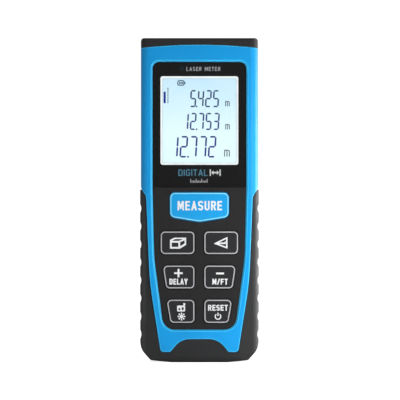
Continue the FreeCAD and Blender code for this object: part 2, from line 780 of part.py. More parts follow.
def optical_block():
    """The casting that holds the laser tube and the receiver's lens, with two lugs on its bracket."""
    foot = BOARD_BACK
    bracket_face = BOARD_BACK + LUG_THICKNESS
    bracket_bottom = BLOCK_BOTTOM + BRACKET_MARGIN
    half_web = WEB_THICKNESS / 2
    solids = [
        rod_z(RECEIVER_TUBE_RADIUS, RECEIVER_X, OPTICS_Y, BLOCK_BOTTOM, BLOCK_TOP),
        rod_z(EMITTER_TUBE_RADIUS, EMITTER_X, OPTICS_Y, EMITTER_TUBE_BOTTOM, BLOCK_TOP),
        box(
            EMITTER_X,
            RECEIVER_X,
            OPTICS_Y - half_web,
            OPTICS_Y + half_web,
            EMITTER_TUBE_BOTTOM,
            BRACKET_TOP,
        ),
        box(-BRACKET_HALF_WIDTH, BRACKET_HALF_WIDTH, foot, bracket_face, bracket_bottom, BRACKET_TOP),
    ]
    for x in (EMITTER_X, RECEIVER_X):
        half_rib = RIB_THICKNESS / 2
        solids.append(box(x - half_rib, x + half_rib, foot, OPTICS_Y, EMITTER_TUBE_BOTTOM, BRACKET_TOP))
    for x, z in LUG_PLACES:
        inner, outer = sorted((x, math.copysign(BRACKET_HALF_WIDTH - PAST, x)))
        solids.append(rod_y(LUG_RADIUS, x, z, foot, bracket_face))
        solids.append(box(inner, outer, foot, bracket_face, z - LUG_RADIUS, z + LUG_RADIUS))
    cone = Part.makeCone(
        RECEIVER_THROAT,
        RECEIVER_BORE - CONE_STEP,
        CONE_TOP - bracket_bottom,
        Vector(RECEIVER_X, OPTICS_Y, bracket_bottom),
        ALONG_Z,
    )
    cuts = [
        cone,
        rod_z(RECEIVER_BORE, RECEIVER_X, OPTICS_Y, CONE_TOP, BLOCK_TOP + PAST),
        rod_z(RECEIVER_THROAT, RECEIVER_X, OPTICS_Y, BLOCK_BOTTOM - PAST, bracket_bottom),
        rod_z(LASER_TUBE_RADIUS, EMITTER_X, OPTICS_Y, EMITTER_TUBE_BOTTOM - PAST, BLOCK_TOP + PAST),
    ]
    cuts += [rod_y(LUG_SHANK_RADIUS, x, z, foot - PAST, bracket_face + PAST) for x, z in LUG_PLACES]
    return joined(solids).cut(cuts)


def laser_tube():
    tube = rod_z(LASER_TUBE_RADIUS, EMITTER_X, OPTICS_Y, LASER_TUBE_BOTTOM, LASER_TUBE_TOP)
    bore = rod_z(LASER_TUBE_BORE, EMITTER_X, OPTICS_Y, LASER_TUBE_BOTTOM - PAST, LASER_TUBE_TOP + PAST)
    return tube.cut(bore)


def bulged_disc(x, radius, z, rim, bulge):
    """A lens with a flat lower face and a domed upper face."""
    disc = rod_z(radius, x, OPTICS_Y, z, z + rim)
    ball_radius = (radius**2 + bulge**2) / (2 * bulge)
    ball = Part.makeSphere(ball_radius, Vector(x, OPTICS_Y, z + rim + bulge - ball_radius))
    crown = ball.common(rod_z(radius, x, OPTICS_Y, z + rim, z + rim + bulge + PAST))
    return joined([disc, crown])


def collimator_lens():
    return bulged_disc(EMITTER_X, LASER_TUBE_BORE, COLLIMATOR_SEAT, COLLIMATOR_RIM, COLLIMATOR_BULGE)


def receiver_lens():
    return bulged_disc(RECEIVER_X, RECEIVER_BORE, RECEIVER_SEAT, RECEIVER_RIM, RECEIVER_BULGE)


def lead_places(x):
    """Where a can's leads stand, evenly round its axis."""
    places = []
    for turn in range(LEAD_COUNT):
        angle = math.pi / 2 + 2 * math.pi * turn / LEAD_COUNT
        places.append((x + LEAD_CIRCLE * math.cos(angle), OPTICS_Y + LEAD_CIRCLE * math.sin(angle)))
    return places


def leaded_can(x, top):
    """A metal can that faces up, with its flange and leads below."""
    base = top - CAN_HEIGHT
    lead_top = base - FLANGE_HEIGHT
    solids = [
        rod_z(CAN_RADIUS, x, OPTICS_Y, base, top),
        rod_z(CAN_RADIUS + FLANGE_OVERHANG, x, OPTICS_Y, lead_top, base),
    ]
    for lead_x, lead_y in lead_places(x):
        solids.append(rod_z(LEAD_RADIUS, lead_x, lead_y, lead_top - LEAD_LENGTH, lead_top))
    return joined(solids)


def laser_diode():
    return leaded_can(EMITTER_X, LASER_TUBE_BOTTOM)


def detector_diode():
    return leaded_can(RECEIVER_X, DETECTOR_TOP)


def detector_board():
    top = DETECTOR_BOARD_BOTTOM + DETECTOR_BOARD_THICKNESS
    board = box(
        RECEIVER_X - DETECTOR_BOARD_HALF_WIDTH,
        RECEIVER_X + DETECTOR_BOARD_HALF_WIDTH,
        OPTICS_Y - DETECTOR_BOARD_HALF_DEPTH,
        OPTICS_Y + DETECTOR_BOARD_HALF_DEPTH,
        DETECTOR_BOARD_BOTTOM,
        top,
    )
    low = DETECTOR_BOARD_BOTTOM - PAST
    return board.cut([rod_z(LEAD_HOLE_RADIUS, x, y, low, top + PAST) for x, y in lead_places(RECEIVER_X)])


def battery_cell(x, bottom, nub_up):
    """One AAA cell with its raised positive end up or down."""
    body = rod_z(CELL_RADIUS, x, CELL_Y, bottom, bottom + CELL_BODY)
    rims = [edge for edge in body.Edges if edge.BoundBox.ZLength < 1 and edge.BoundBox.XLength > CELL_RADIUS]
    body = body.makeFillet(CELL_RIM_ROUND, rims)
    nub_bottom = bottom + CELL_BODY if nub_up else bottom - CELL_NUB
    return joined([body, rod_z(CELL_NUB_RADIUS, x, CELL_Y, nub_bottom, nub_bottom + CELL_NUB)])


def coil_spring(x, z, up):
    """A tapered coil of eight-sided wire that stands on z and grows up, or down where up is False."""
    height = SPRING_LENGTH - 2 * SPRING_WIRE
    taper = math.degrees(math.atan((SPRING_WIDE - SPRING_NARROW) / height))
    path = Part.makeHelix(height / SPRING_TURNS, height, SPRING_WIDE, -taper)
    corners = []
    for side in range(SPRING_SIDES):
        angle = 2 * math.pi * (side + 0.5) / SPRING_SIDES
        corners.append(Vector(SPRING_WIDE + SPRING_WIRE * math.cos(angle), 0, SPRING_WIRE * math.sin(angle)))
    section = Part.makePolygon(corners + corners[:1])
    coil = Part.Wire(path).makePipeShell([section], True, True)
    coil.translate(Vector(0, 0, SPRING_WIRE))
    if not up:
        coil.rotate(Vector(0, 0, 0), Vector(1, 0, 0), 180)
    coil.translate(Vector(x, CELL_Y, z))
    return coil


def contact_plate(x0, x1, z):
    return box(x0, x1, CELL_Y - CONTACT_HALF_WIDTH, CELL_Y + CONTACT_REAR, z, z + CONTACT_THICKNESS)


def contact_bridge():
    """The lower plate that joins the two cells: a coil on the left, a dimple on the right."""
    edge = CELL_SPACING + CONTACT_HALF_WIDTH
    top = BAY_BOTTOM + CONTACT_THICKNESS
    dimple = Part.makeCone(
        DIMPLE_RADIUS, DIMPLE_TIP_RADIUS, DIMPLE, Vector(CELL_SPACING, CELL_Y, top), ALONG_Z
    )
    base = joined([contact_plate(-edge, edge, BAY_BOTTOM), dimple])
    return group([base, coil_spring(-CELL_SPACING, top, True)])


def contact_positive():
    low = BAY_TOP - CONTACT_THICKNESS
    base = contact_plate(-CELL_SPACING - CONTACT_HALF_WIDTH, -CONTACT_SPLIT, low)
    dimple = Part.makeCone(
        DIMPLE_TIP_RADIUS, DIMPLE_RADIUS, DIMPLE, Vector(-CELL_SPACING, CELL_Y, low - DIMPLE), ALONG_Z
    )
    return joined([base, dimple])


def contact_negative():
    low = BAY_TOP - CONTACT_THICKNESS
    base = contact_plate(CONTACT_SPLIT, CELL_SPACING + CONTACT_HALF_WIDTH, low)
    return group([base, coil_spring(CELL_SPACING, low, False)])


def battery_door():
    panel = box(-DOOR_HALF_WIDTH, DOOR_HALF_WIDTH, HINGE_Y, REAR, HINGE_Z, DOOR_TOP)
    barrel = rod_x(DOOR_THICKNESS, HINGE_Y, HINGE_Z, -DOOR_HALF_WIDTH, DOOR_HALF_WIDTH)
    reach = DOOR_HALF_WIDTH + PIN_LENGTH
    pins = rod_x(PIN_RADIUS, HINGE_Y, HINGE_Z, -reach, reach)
    tongue = box(
        -TONGUE_HALF_WIDTH, TONGUE_HALF_WIDTH, TONGUE_FACE, TONGUE_BACK, DOOR_TOP, DOOR_TOP + TONGUE_LENGTH
    )
    ridges = []
    for index in range(RIDGE_COUNT):
        z = DOOR_TOP - RIDGE_DROP - RIDGE_PITCH * index
        ridges.append(
            box(-RIDGE_HALF_LENGTH, RIDGE_HALF_LENGTH, REAR - RIDGE_DEPTH, REAR + PAST, z, z + RIDGE_WIDTH)
        )
    return joined([panel, barrel, pins, tongue]).cut(ridges)


def door_pad():
    """Foam that keeps the cells from rattling, stuck inside the door."""
    return box(-PAD_HALF_WIDTH, PAD_HALF_WIDTH, HINGE_Y - PAD_THICKNESS, HINGE_Y, PAD_BOTTOM, PAD_TOP)


def cross_recess(x, z, y_head, radius):
    """The cross slot cut in a screw head that faces +Y."""
    arm = radius - SLOT_MARGIN
    upright = box(x - SLOT_WIDTH / 2, x + SLOT_WIDTH / 2, y_head - SLOT_DEPTH, y_head, z - arm, z + arm)
    level = box(x - arm, x + arm, y_head - SLOT_DEPTH, y_head, z - SLOT_WIDTH / 2, z + SLOT_WIDTH / 2)
    return [upright, level]


def screw(x, z, seat, tip, shank_radius, head_radius, head_height):
    head = rod_y(head_radius, x, z, seat, seat + head_height)
    rim = [edge for edge in head.Edges if edge.BoundBox.YMin > seat + head_height / 2]
    head = head.makeFillet(head_height * HEAD_ROUND_SHARE, rim)
    shank = rod_y(shank_radius, x, z, tip, seat)
    return joined([head, shank]).cut(cross_recess(x, z, seat + head_height, head_radius))


def case_screws():
    return group(
        [
            screw(x, z, SCREW_SEAT, SCREW_TIP, SCREW_SHANK_RADIUS, SCREW_HEAD_RADIUS, SCREW_HEAD)
            for x, z in SCREW_PLACES
        ]
    )


def block_screws():
    seat = BOARD_BACK + LUG_THICKNESS
    return group(
        [screw(x, z, seat, LUG_TIP, LUG_SHANK_RADIUS, LUG_HEAD_RADIUS, LUG_HEAD) for x, z in LUG_PLACES]
    )


def label_corners(gap):
    half_width = LABEL_HALF_WIDTH - gap
    return mirrored(
        [(half_width, LABEL_TOP - gap, LABEL_ROUND), (half_width, LABEL_BOTTOM + gap, LABEL_ROUND)]
    )


def rear_label():
    film = REAR - LABEL_RECESS
    return plate(label_corners(LABEL_GAP), film, film + LABEL_THICKNESS)


def on_board(place, size):
    """A block on the back of the main board: its middle x and z, and its width, height and length."""
    x, z = place
    width, height, length = size
    return box(x - width / 2, x + width / 2, BOARD_BACK, BOARD_BACK + height, z - length / 2, z + length / 2)


def processor():
    x, z = PROCESSOR_PLACE
    solids = [on_board(PROCESSOR_PLACE, (PROCESSOR_SIDE, PROCESSOR_HEIGHT, PROCESSOR_SIDE))]
    for index in range(PROCESSOR_PINS):
        pin_z = z + (index - (PROCESSOR_PINS - 1) / 2) * PIN_PITCH
        solids.append(on_board((x, pin_z), (PROCESSOR_SIDE + 2 * PIN_REACH, PIN_WIDTH, PIN_WIDTH)))
    return joined(solids)


def chip_components():
    """The small capacitors and resistors, in ordered rows."""
    chips = []
    for z in CHIP_ROWS:
        chips += [on_board((CHIP_FIRST_X + index * CHIP_PITCH, z), CHIP_SIZE) for index in range(CHIP_COUNT)]
    return group(chips)


def crystal():
    body = on_board(CRYSTAL_PLACE, CRYSTAL_SIZE)
    uprights = [edge for edge in body.Edges if edge.BoundBox.YLength > CRYSTAL_SIZE[1] / 2]
    return body.makeFillet(CRYSTAL_ROUND, uprights)


def buzzer():
    x, z = BUZZER_PLACE
    top = BOARD_BACK + BUZZER_HEIGHT
    case = rod_y(BUZZER_RADIUS, x, z, BOARD_BACK, top)
    return case.cut(rod_y(SOUND_HOLE_RADIUS, x, z, top - SOUND_HOLE_DEPTH, top + PAST))


def shield_can():
    width, height, length = SHIELD_SIZE
    inside = on_board(
        SHIELD_PLACE, (width - 2 * SHIELD_SHEET, height - SHIELD_SHEET, length - 2 * SHIELD_SHEET)
    )
    return on_board(SHIELD_PLACE, SHIELD_SIZE).cut(inside)


def cell_left():
    bottom = BAY_BOTTOM + CONTACT_THICKNESS + SPRING_LENGTH
    return battery_cell(-CELL_SPACING, bottom, True)


def cell_right():
    bottom = BAY_BOTTOM + CONTACT_THICKNESS + DIMPLE + CELL_NUB
    return battery_cell(CELL_SPACING, bottom, False)


def save(name, shape):
    if not shape.isValid():
        print("not valid:", name)
    shape.exportStep("parts/" + name + ".step")
    print(name, len(shape.Solids), "solids", round(shape.Volume, 1), "mm3")


def main():
    os.makedirs("parts", exist_ok=True)
    save("front_case", front_case())
    save("rear_case", rear_case())
    save("grip_overmould", grip_overmould())
    save("nose_cap", nose_cap())
    save("emitter_window", end_window(EMITTER_X, EMITTER_WINDOW_RADIUS))
    save("receiver_window", end_window(RECEIVER_X, RECEIVER_WINDOW_RADIUS))
    save("display_lens", display_lens())
    save("display_mask", display_mask())
    save("keypad_panel", keypad_panel())
    save("keypad_mat", keypad_mat())
    for name, corners in key_outlines().items():
        save(name, key(corners))
    save("key_domes", key_domes())
    save("main_board", main_board())
    save("lcd_gasket", lcd_gasket())
    save("lcd_cell", lcd_cell())
    save("lcd_backlight", lcd_backlight())
    save("lcd_contact_strip", lcd_contact_strip())
    save("optical_block", optical_block())
    save("laser_tube", laser_tube())
    save("collimator_lens", collimator_lens())
    save("receiver_lens", receiver_lens())
    save("laser_diode", laser_diode())
    save("detector_board", detector_board())
    save("detector_diode", detector_diode())
    save("battery_cell_left", cell_left())
    save("battery_cell_right", cell_right())
    save("contact_bridge", contact_bridge())
    save("contact_positive", contact_positive())
    save("contact_negative", contact_negative())
    save("battery_door", battery_door())
    save("door_pad", door_pad())
    save("case_screws", case_screws())
    save("block_screws", block_screws())
    save("rear_label", rear_label())
    save("processor", processor())
    save("chip_components", chip_components())
    save("crystal", crystal())
    save("buzzer", buzzer())
    save("shield_can", shield_can())


main()
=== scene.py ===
import math

import bmesh
import bpy
from mathutils import Matrix, Vector
from mathutils.geometry import convex_hull_2d, delaunay_2d_cdt


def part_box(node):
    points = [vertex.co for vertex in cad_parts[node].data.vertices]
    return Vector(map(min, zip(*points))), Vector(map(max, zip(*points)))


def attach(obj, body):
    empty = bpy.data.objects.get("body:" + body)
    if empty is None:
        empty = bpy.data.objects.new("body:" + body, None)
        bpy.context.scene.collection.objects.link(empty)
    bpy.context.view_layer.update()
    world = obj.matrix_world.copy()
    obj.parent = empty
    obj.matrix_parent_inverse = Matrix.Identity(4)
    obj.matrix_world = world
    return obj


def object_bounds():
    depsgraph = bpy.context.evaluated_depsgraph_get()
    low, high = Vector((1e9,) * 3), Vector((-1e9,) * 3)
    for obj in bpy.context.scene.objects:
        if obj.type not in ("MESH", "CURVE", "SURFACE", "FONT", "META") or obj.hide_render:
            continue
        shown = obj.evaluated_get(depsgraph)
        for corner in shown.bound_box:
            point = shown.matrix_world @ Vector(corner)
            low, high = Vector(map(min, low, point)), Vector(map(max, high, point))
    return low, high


# Lengths below are in millimetres, and MM turns them into the scene's metres. Only the floor's radius and the
# nearest and farthest distances that the camera sees are in metres already.
MM = 0.001

# How near two points count as one: along an outline, round a key's front, and in the lettering's triangles
TINY = 0.002
NEAR = 0.02
MERGE = 0.0001

# Lettering is rounded to this many decimals, and triangulated over its whole hull
PLACES = 3
WHOLE_HULL = 0

# Camera: the view is this wide at the front face, and this far away, with its aim this far off the middle
VIEW_WIDTH = 145.4
CAMERA_DISTANCE = 1500.0
CAMERA_SHIFT = 0.22
CAMERA_RISE = 0.1
SENSOR = 36.0
NEAREST_SEEN = 0.1
FARTHEST_SEEN = 100.0

# Studio: brightness of the surround as light on the object and to the camera, and of the floor to the camera
WORLD_LIGHT = 0.275
WORLD_GLOW = 1.05
FLOOR_GLOW = 0.85
FLOOR_RADIUS = 30.0
FLOOR_SIDES = 64
FLOOR_SHADES = ((0.86, 0.86, 0.86), (0.88, 0.88, 0.88))

# Lamps: place, what they point at, width, height, brightness, and whether gloss and glass mirror them
LAMPS = {
    "key_light": ((75, -98, 36), (0, 0, 48), 50, 140, 6.6, False),
    "side_light": ((250, 60, 56), (0, 0, 56), 200, 116, 7.6, True),
    "top_light": ((-20, -160, 260), (0, 0, 110), 160, 120, 0.8, True),
    "back_light": ((-120, 420, 260), (0, 0, 60), 300, 300, 2.5, False),
    "left_light": ((-170, -90, 22), (-15, 0, 18), 100, 40, 2.9, True),
    "foot_light": ((150, -70, 14), (12, 0, 6), 80, 24, 5.0, True),
}

# The material of each CAD node
NODE_MATERIALS = {
    "front_case": "blue_plastic",
    "rear_case": "black_plastic",
    "grip_overmould": "grip_rubber",
    "nose_cap": "black_plastic",
    "emitter_window": "coated_glass",
    "receiver_window": "coated_glass",
    "display_lens": "clear_lens",
    "display_mask": "mask_ink",
    "keypad_panel": "keypad_plastic",
    "keypad_mat": "silicone",
    "key_measure": "key_blue",
    "key_area": "key_black",
    "key_indirect": "key_black",
    "key_plus": "key_black",
    "key_minus": "key_black",
    "key_reference": "key_black",
    "key_clear": "key_black",
    "key_domes": "dome_steel",
    "main_board": "board",
    "lcd_gasket": "foam",
    "lcd_cell": "lcd",
    "lcd_backlight": "light_guide",
    "lcd_contact_strip": "silicone",
    "optical_block": "casting",
    "laser_tube": "brass",
    "collimator_lens": "coated_glass",
    "receiver_lens": "coated_glass",
    "laser_diode": "can_metal",
    "detector_board": "board",
    "detector_diode": "can_metal",
    "battery_cell_left": "cell_jacket_left",
    "battery_cell_right": "cell_jacket_right",
    "contact_bridge": "contact_metal",
    "contact_positive": "contact_metal",
    "contact_negative": "contact_metal",
    "battery_door": "black_plastic",
    "door_pad": "foam",
    "case_screws": "screw_steel",
    "block_screws": "screw_steel",
    "rear_label": "label_film",
    "processor": "chip_black",
    "chip_components": "chip_ceramic",
    "crystal": "can_metal",
    "buzzer": "chip_black",
    "shield_can": "tin",
}

# Painted highlight on sharp edges: how far it reaches, and how much the surface turns on an edge and on a
# flat part, as the cosine of the angle
EDGE_REACH = 0.6
EDGE_SAMPLES = 8
EDGE_TURN = 0.965
FLAT_TURN = 0.999

# Moulded plastic and rubber: colour, roughness, size and depth of the grain, specular level, and how much
# lighter its scuffs are
MOULDED = {
    "blue_plastic": ((0.009, 0.36, 0.83), 0.33, 0.16, 0.003, 0.27, 0.01),
    "black_plastic": ((0.021, 0.021, 0.022), 0.55, 0.3, 0.015, 0.4, 0.02),
    "grip_rubber": ((0.02, 0.02, 0.0205), 0.5, 0.35, 0.012, 0.45, 0.02),
    "keypad_plastic": ((0.018, 0.0175, 0.0185), 0.6, 0.12, 0.004, 0.3, 0.005),
    "key_black": ((0.022, 0.022, 0.0235), 0.55, 0.12, 0.004, 0.3, 0.005),
    "key_blue": ((0.01, 0.36, 0.79), 0.5, 0.12, 0.004, 0.3, 0.01),
    "silicone": ((0.12, 0.12, 0.125), 0.6, 0.2, 0.005, 0.5, 0.02),
    "chip_black": ((0.02, 0.02, 0.021), 0.45, 0.15, 0.008, 0.5, 0.02),
    "chip_ceramic": ((0.5, 0.4, 0.28), 0.5, 0.2, 0.005, 0.5, 0.02),
    "light_guide": ((0.85, 0.88, 0.9), 0.3, 0.4, 0.004, 0.5, 0.02),
}
# Painted highlight along sharp edges: its lighter colour, for each material that gets it
EDGE_HIGHLIGHT_COLOURS = {
    "blue_plastic": (0.08, 0.68, 1.0),
    "black_plastic": (0.03, 0.03, 0.031),
    "grip_rubber": (0.026, 0.026, 0.0265),
}
# Clouds in their colour, patches in their gloss and rubbed streaks: sizes, and how much each one changes
CLOUD_SIZE = 14.0
STREAK_SIZE = 1.1
STREAK_STRETCH = (1, 1, 7)
GLOSS_PATCH = 3.0
GLOSS_RANGE = 0.05
CLOUD_SHADE = 0.93
SCUFF_COVER = 0.35
SCUFF_POLISH = -0.06

# Inks: colour, roughness and depth of the tooth
INKS = {
    "mask_ink": ((0.011, 0.011, 0.0115), 0.3, 0.0005),
    "white_ink": ((0.86, 0.87, 0.88), 0.5, 0.004),
    "outline_ink": ((0.46, 0.46, 0.48), 0.5, 0.004),
    "main_outline_ink": ((0.24, 0.74, 1.0), 0.5, 0.004),
    "grey_ink": ((0.68, 0.68, 0.72), 0.5, 0.004),
    "teal_ink": ((0.1, 0.3, 0.43), 0.5, 0.004),
    "dark_teal_ink": ((0.015, 0.06, 0.08), 0.5, 0.004),
    "line_ink": ((0.75, 0.85, 0.92), 0.5, 0.004),
    "bar_segment": ((0.004, 0.002, 0.4), 0.5, 0.004),
    "unit_segments": ((0.18, 0.23, 0.26), 0.5, 0.004),
}
INK_SHADE = 0.9
INK_GLOSS_RANGE = 0.12

# Metals: colour, roughness, stretch of the grain along the axes, and its size
METALS = {
    "dome_steel": ((0.75, 0.75, 0.76), 0.25, (1, 1, 1), 0.3),
    "casting": ((0.55, 0.55, 0.56), 0.5, (1, 1, 1), 0.3),
    "brass": ((0.72, 0.52, 0.22), 0.25, (1, 1, 20), 0.3),
    "can_metal": ((0.7, 0.66, 0.56), 0.28, (1, 1, 1), 0.3),
    "tin": ((0.68, 0.69, 0.7), 0.3, (1, 1, 1), 0.3),
    "contact_metal": ((0.72, 0.7, 0.66), 0.25, (1, 1, 1), 0.3),
    "screw_steel": ((0.42, 0.42, 0.43), 0.32, (1, 1, 1), 0.15),
}
METAL_SHADE = 0.8
METAL_SPOT = 2.5
METAL_GRAIN_DEPTH = 0.006

# Glass: tint and index of refraction
GLASSES = {
    "clear_lens": ((1, 1, 1), 1.4),
    "coated_glass": ((0.9, 0.93, 1.0), 1.5),
}
# Wipe marks in its gloss
WIPE_SIZE = 5.0
WIPE_STRETCH = (3, 1, 1)
WIPE_ROUGHNESS = 0.03

# Display: glow low and high in it, where it starts and stops to turn bluer as shares of its height, the glow
# of its uneven patches, and its brightness and unlit colour
GLOW_LOW = (0.74, 0.96, 1.0)
GLOW_HIGH = (0.5, 0.77, 0.95)
GLOW_START = 0.35
GLOW_STOP = 0.95
GLOW_PATCH = (0.8, 0.97, 0.95)
GLOW_PATCH_SIZE = 9.0
DISPLAY_GLOW = 0.98
DISPLAY_UNLIT = (0.1, 0.12, 0.12)
GUIDE_GLOW = (0.93, 1.0, 1.0)
GUIDE_UNLIT = (0.1, 0.1, 0.1)

# Driven liquid crystal: colour low and high in the display, and of its uneven patches
SEGMENT_LOW = (0.014, 0.012, 0.34)
SEGMENT_HIGH = (0.04, 0.1, 0.19)
SEGMENT_PATCH = (0.02, 0.03, 0.1)

# Circuit board: solder mask, the colour over copper, and the size of the pattern of tracks
BOARD_SHADES = ((0.008, 0.09, 0.035), (0.012, 0.12, 0.045))
BOARD_TRACK = (0.05, 0.26, 0.09)
TRACK_SIZE = 6.0
TRACK_GAP = 0.03
TRACK_DEPTH = 0.03

# Battery cell: bare rim at its ends, length of the copper band, and colours
CELL_RIM = 0.9
CELL_BAND = 11.0
CELL_SHADES = ((0.012, 0.012, 0.014), (0.03, 0.03, 0.033))
CELL_COPPER = (0.62, 0.27, 0.09)
CELL_STEEL = (0.72, 0.71, 0.69)

# Label film and foam: light and dark shades, the foam's dark one being painted shade in its pores, and the
# sizes of the brushing and the pores
FILM_SHADES = ((0.42, 0.43, 0.44), (0.56, 0.57, 0.58))
FILM_LINE = 0.25
FILM_LINE_STRETCH = (30, 1, 1)
FILM_LINE_DEPTH = 0.003
FILM_METALLIC = 0.7
FOAM_PORE_SHADING = ((0.008, 0.008, 0.008), (0.035, 0.035, 0.036))
FOAM_PORE = 0.35
FOAM_PORE_DEPTH = 0.15
FOAM_ROUGHNESS = 0.95

# Prints: how far they stand in front of what they are printed on, how deep they reach into it, and the width
# of the line round a key
PRINT_HEIGHT = 0.03
PRINT_DEPTH = 0.02
PRINT_THICKNESS = PRINT_HEIGHT + PRINT_DEPTH
OUTLINE_WIDTH = 0.4

# Lettering: how far a round corner reaches along its sides, as a share of the widest letter's width and at
# least a share of the stroke
LETTER_ROUND = 0.42
LEAST_ROUND = 0.75
LETTER_STEPS = 5
FLAT_ANGLE = math.radians(1)

# Display: the white edge round the lit area, and the thin line inside it
EDGE_WIDTH = 0.68
EDGE_MARGIN = 0.85
EDGE_ROUND = 0.4
LINE_WIDTH = 0.12

# Digits: how much they lean, and the gap at each end of a bar
SLANT = 0.06
SEGMENT_GAP = 0.05

# Display contents and the prints behind the lens: their places are measured from the lower left corner of the
# opening that shows the display.
# Each reading: digits, x of the last digit's right bars, z of the lowest bars, glyph width and height,
# distance between digits, bar thickness
READINGS = [
    ("5.425", 21.05, 21.25, 1.7, 5.7, 2.77, 0.56),
    ("12.753", 21.15, 12.95, 1.7, 5.7, 2.8, 0.56),
    ("12.772", 19.9, 2.95, 2.2, 7.25, 3.44, 0.62),
]
# Each reading's unit: middle x, z of its foot, height, width, stroke
UNITS = [(24.35, 21.3, 1.95, 1.7, 0.36), (24.4, 12.9, 1.95, 1.75, 0.36), (24.2, 3.0, 2.5, 2.15, 0.4)]
BATTERY_SIGN_PLACE = (7.55, 29.8)
EDGE_BAR_PLACE = (1.5, 24.55)
EDGE_BEAM_PLACE = (2.7, 22.5)

# Prints behind the lens, each with its ink and place: a sign's place is its middle or foot, and words give
# their middle x and the z of their foot, and then height, width, stroke and gap between letters
LENS_TITLE = ("LASER METER", "grey_ink", 15.6, 34.15, 1.45, 12.3, 0.21, 0.34)
LENS_WORD = ("DIGITAL", "teal_ink", 11.8, -4.05, 2.4, 10.6, 0.36, 0.4)
LENS_MARK_PLACE = (7.6, 34.9)
LENS_SPAN_PLACE = (19.9, -2.85)
LENS_SCALE_PLACE = (14.15, -6.5)

# The row of ruler ticks: how many, from where, distance, width, height, and every which one is long
TICKS = 13
TICK_START = -3.3
TICK_PITCH = 0.5
TICK_WIDTH = 0.24
TICK_HEIGHT = 0.75
LONG_TICK = 1.4
LONG_EVERY = 4

# What is on the keys, from the top down: key, part, what it says or shows, and its x and z from the key's
# middle. Words stand on their z, and have their height, width, stroke and gap between letters.
LEGENDS = [
    ("key_measure", "legend", "MEASURE", 0.15, -1.17, 3.4, 16.2, 0.6, 0.5),
    ("key_area", "legend", "box_icon", 0.17, -0.15),
    ("key_indirect", "legend", "triangle_icon", -0.12, -0.05),
    ("key_plus", "sign", "plus_icon", -0.18, 1.4),
    ("key_plus", "legend", "DELAY", -0.18, -2.75, 2.15, 6.6, 0.44, 0.24),
    ("key_minus", "sign", "minus_icon", 0.08, 1.3),
    ("key_minus", "legend", "M/FT", 0.08, -2.75, 2.15, 5.6, 0.44, 0.3),
    ("key_reference", "sign", "edge_icon", 0.07, 1.35),
    ("key_reference", "legend", "sun_icon", 0.22, -1.9),
    ("key_clear", "sign", "RESET", 0.03, 0.2, 2.15, 7.2, 0.44, 0.26),
    ("key_clear", "legend", "power_icon", 0.03, -1.9),
]

# Seven bars of a digit, and the ones each digit lights
LIT_BARS = {
    "0": "abcdef",
    "1": "bc",
    "2": "abged",
    "3": "abgcd",
    "4": "fgbc",
    "5": "afgcd",
    "6": "afgedc",
    "7": "abc",
    "8": "abcdefg",
    "9": "abcdfg",
}

# Each letter is its width and its strokes in a square from 0 to 1; a stroke turns in round corners
LETTERS = {
    "A": (1.0, [[(0, 0), (0.5, 1)], [(0.5, 1), (1, 0)], [(0.35, 0.25), (0.65, 0.25)]]),
    "D": (0.95, [[(0, 1), (1, 1), (1, 0), (0, 0)], [(0, 0), (0, 1)]]),
    "E": (0.8, [[(0, 0), (0, 1)], [(0, 1), (1, 1)], [(0, 0.52), (0.9, 0.52)], [(0, 0), (1, 0)]]),
    "F": (0.78, [[(0, 0), (0, 1)], [(0, 1), (1, 1)], [(0, 0.5), (0.9, 0.5)]]),
    "G": (0.95, [[(1, 0.92), (1, 1), (0, 1), (0, 0), (1, 0), (1, 0.45)], [(1, 0.45), (0.65, 0.45)]]),
    "I": (0.0, [[(0.5, 0), (0.5, 1)]]),
    "L": (0.75, [[(0, 0), (0, 1)], [(0, 0), (1, 0)]]),
    "M": (1.25, [[(0, 0), (0, 1)], [(0.1, 1), (0.5, 0.2)], [(0.5, 0.2), (0.9, 1)], [(1, 1), (1, 0)]]),
    "R": (0.9, [[(0, 1), (1, 1), (1, 0.48), (0, 0.48)], [(0, 0), (0, 1)], [(0.55, 0.45), (0.95, 0)]]),
    "S": (0.9, [[(1, 0.94), (1, 1), (0, 1), (0, 0.5), (1, 0.5), (1, 0), (0, 0), (0, 0.06)]]),
    "T": (0.85, [[(0, 1), (1, 1)], [(0.5, 0), (0.5, 1)]]),
    "U": (0.9, [[(0, 1), (0, 0), (1, 0), (1, 1)]]),
    "Y": (0.95, [[(0, 1), (0.5, 0.42)], [(0.5, 0.42), (1, 1)], [(0.5, 0), (0.5, 0.5)]]),
    "m": (1.0, [[(0, 0), (0, 1)], [(0, 1), (0.5, 1), (0.5, 0)], [(0.5, 1), (1, 1), (1, 0)]]),
    "/": (0.6, [[(0, 0), (1, 1)]]),
    " ": (0.45, []),
}

# Turns a shape that was drawn flat so that it faces the front
FACING_FRONT = Matrix(((1, 0, 0, 0), (0, 0, -1, 0), (0, 1, 0, 0), (0, 0, 0, 1)))


# Node helpers


def new_material(name):
    """A new node material, its node tree and its shader."""
    material = bpy.data.materials.new(name)
    material.use_nodes = True
    tree = material.node_tree
    return material, tree, tree.nodes["Principled BSDF"]


def noise(tree, size, detail=2.0, stretch=(1, 1, 1)):
    """Noise with blobs of about the size in millimetres, stretched along the axes."""
    coordinates = tree.nodes.new("ShaderNodeTexCoord")
    mapping = tree.nodes.new("ShaderNodeMapping")
    mapping.inputs["Scale"].default_value = [1 / share for share in stretch]
    texture = tree.nodes.new("ShaderNodeTexNoise")
    texture.inputs["Scale"].default_value = 1 / (size * MM)
    texture.inputs["Detail"].default_value = detail
    tree.links.new(coordinates.outputs["Object"], mapping.inputs["Vector"])
    tree.links.new(mapping.outputs["Vector"], texture.inputs["Vector"])
    return texture.outputs["Fac"]


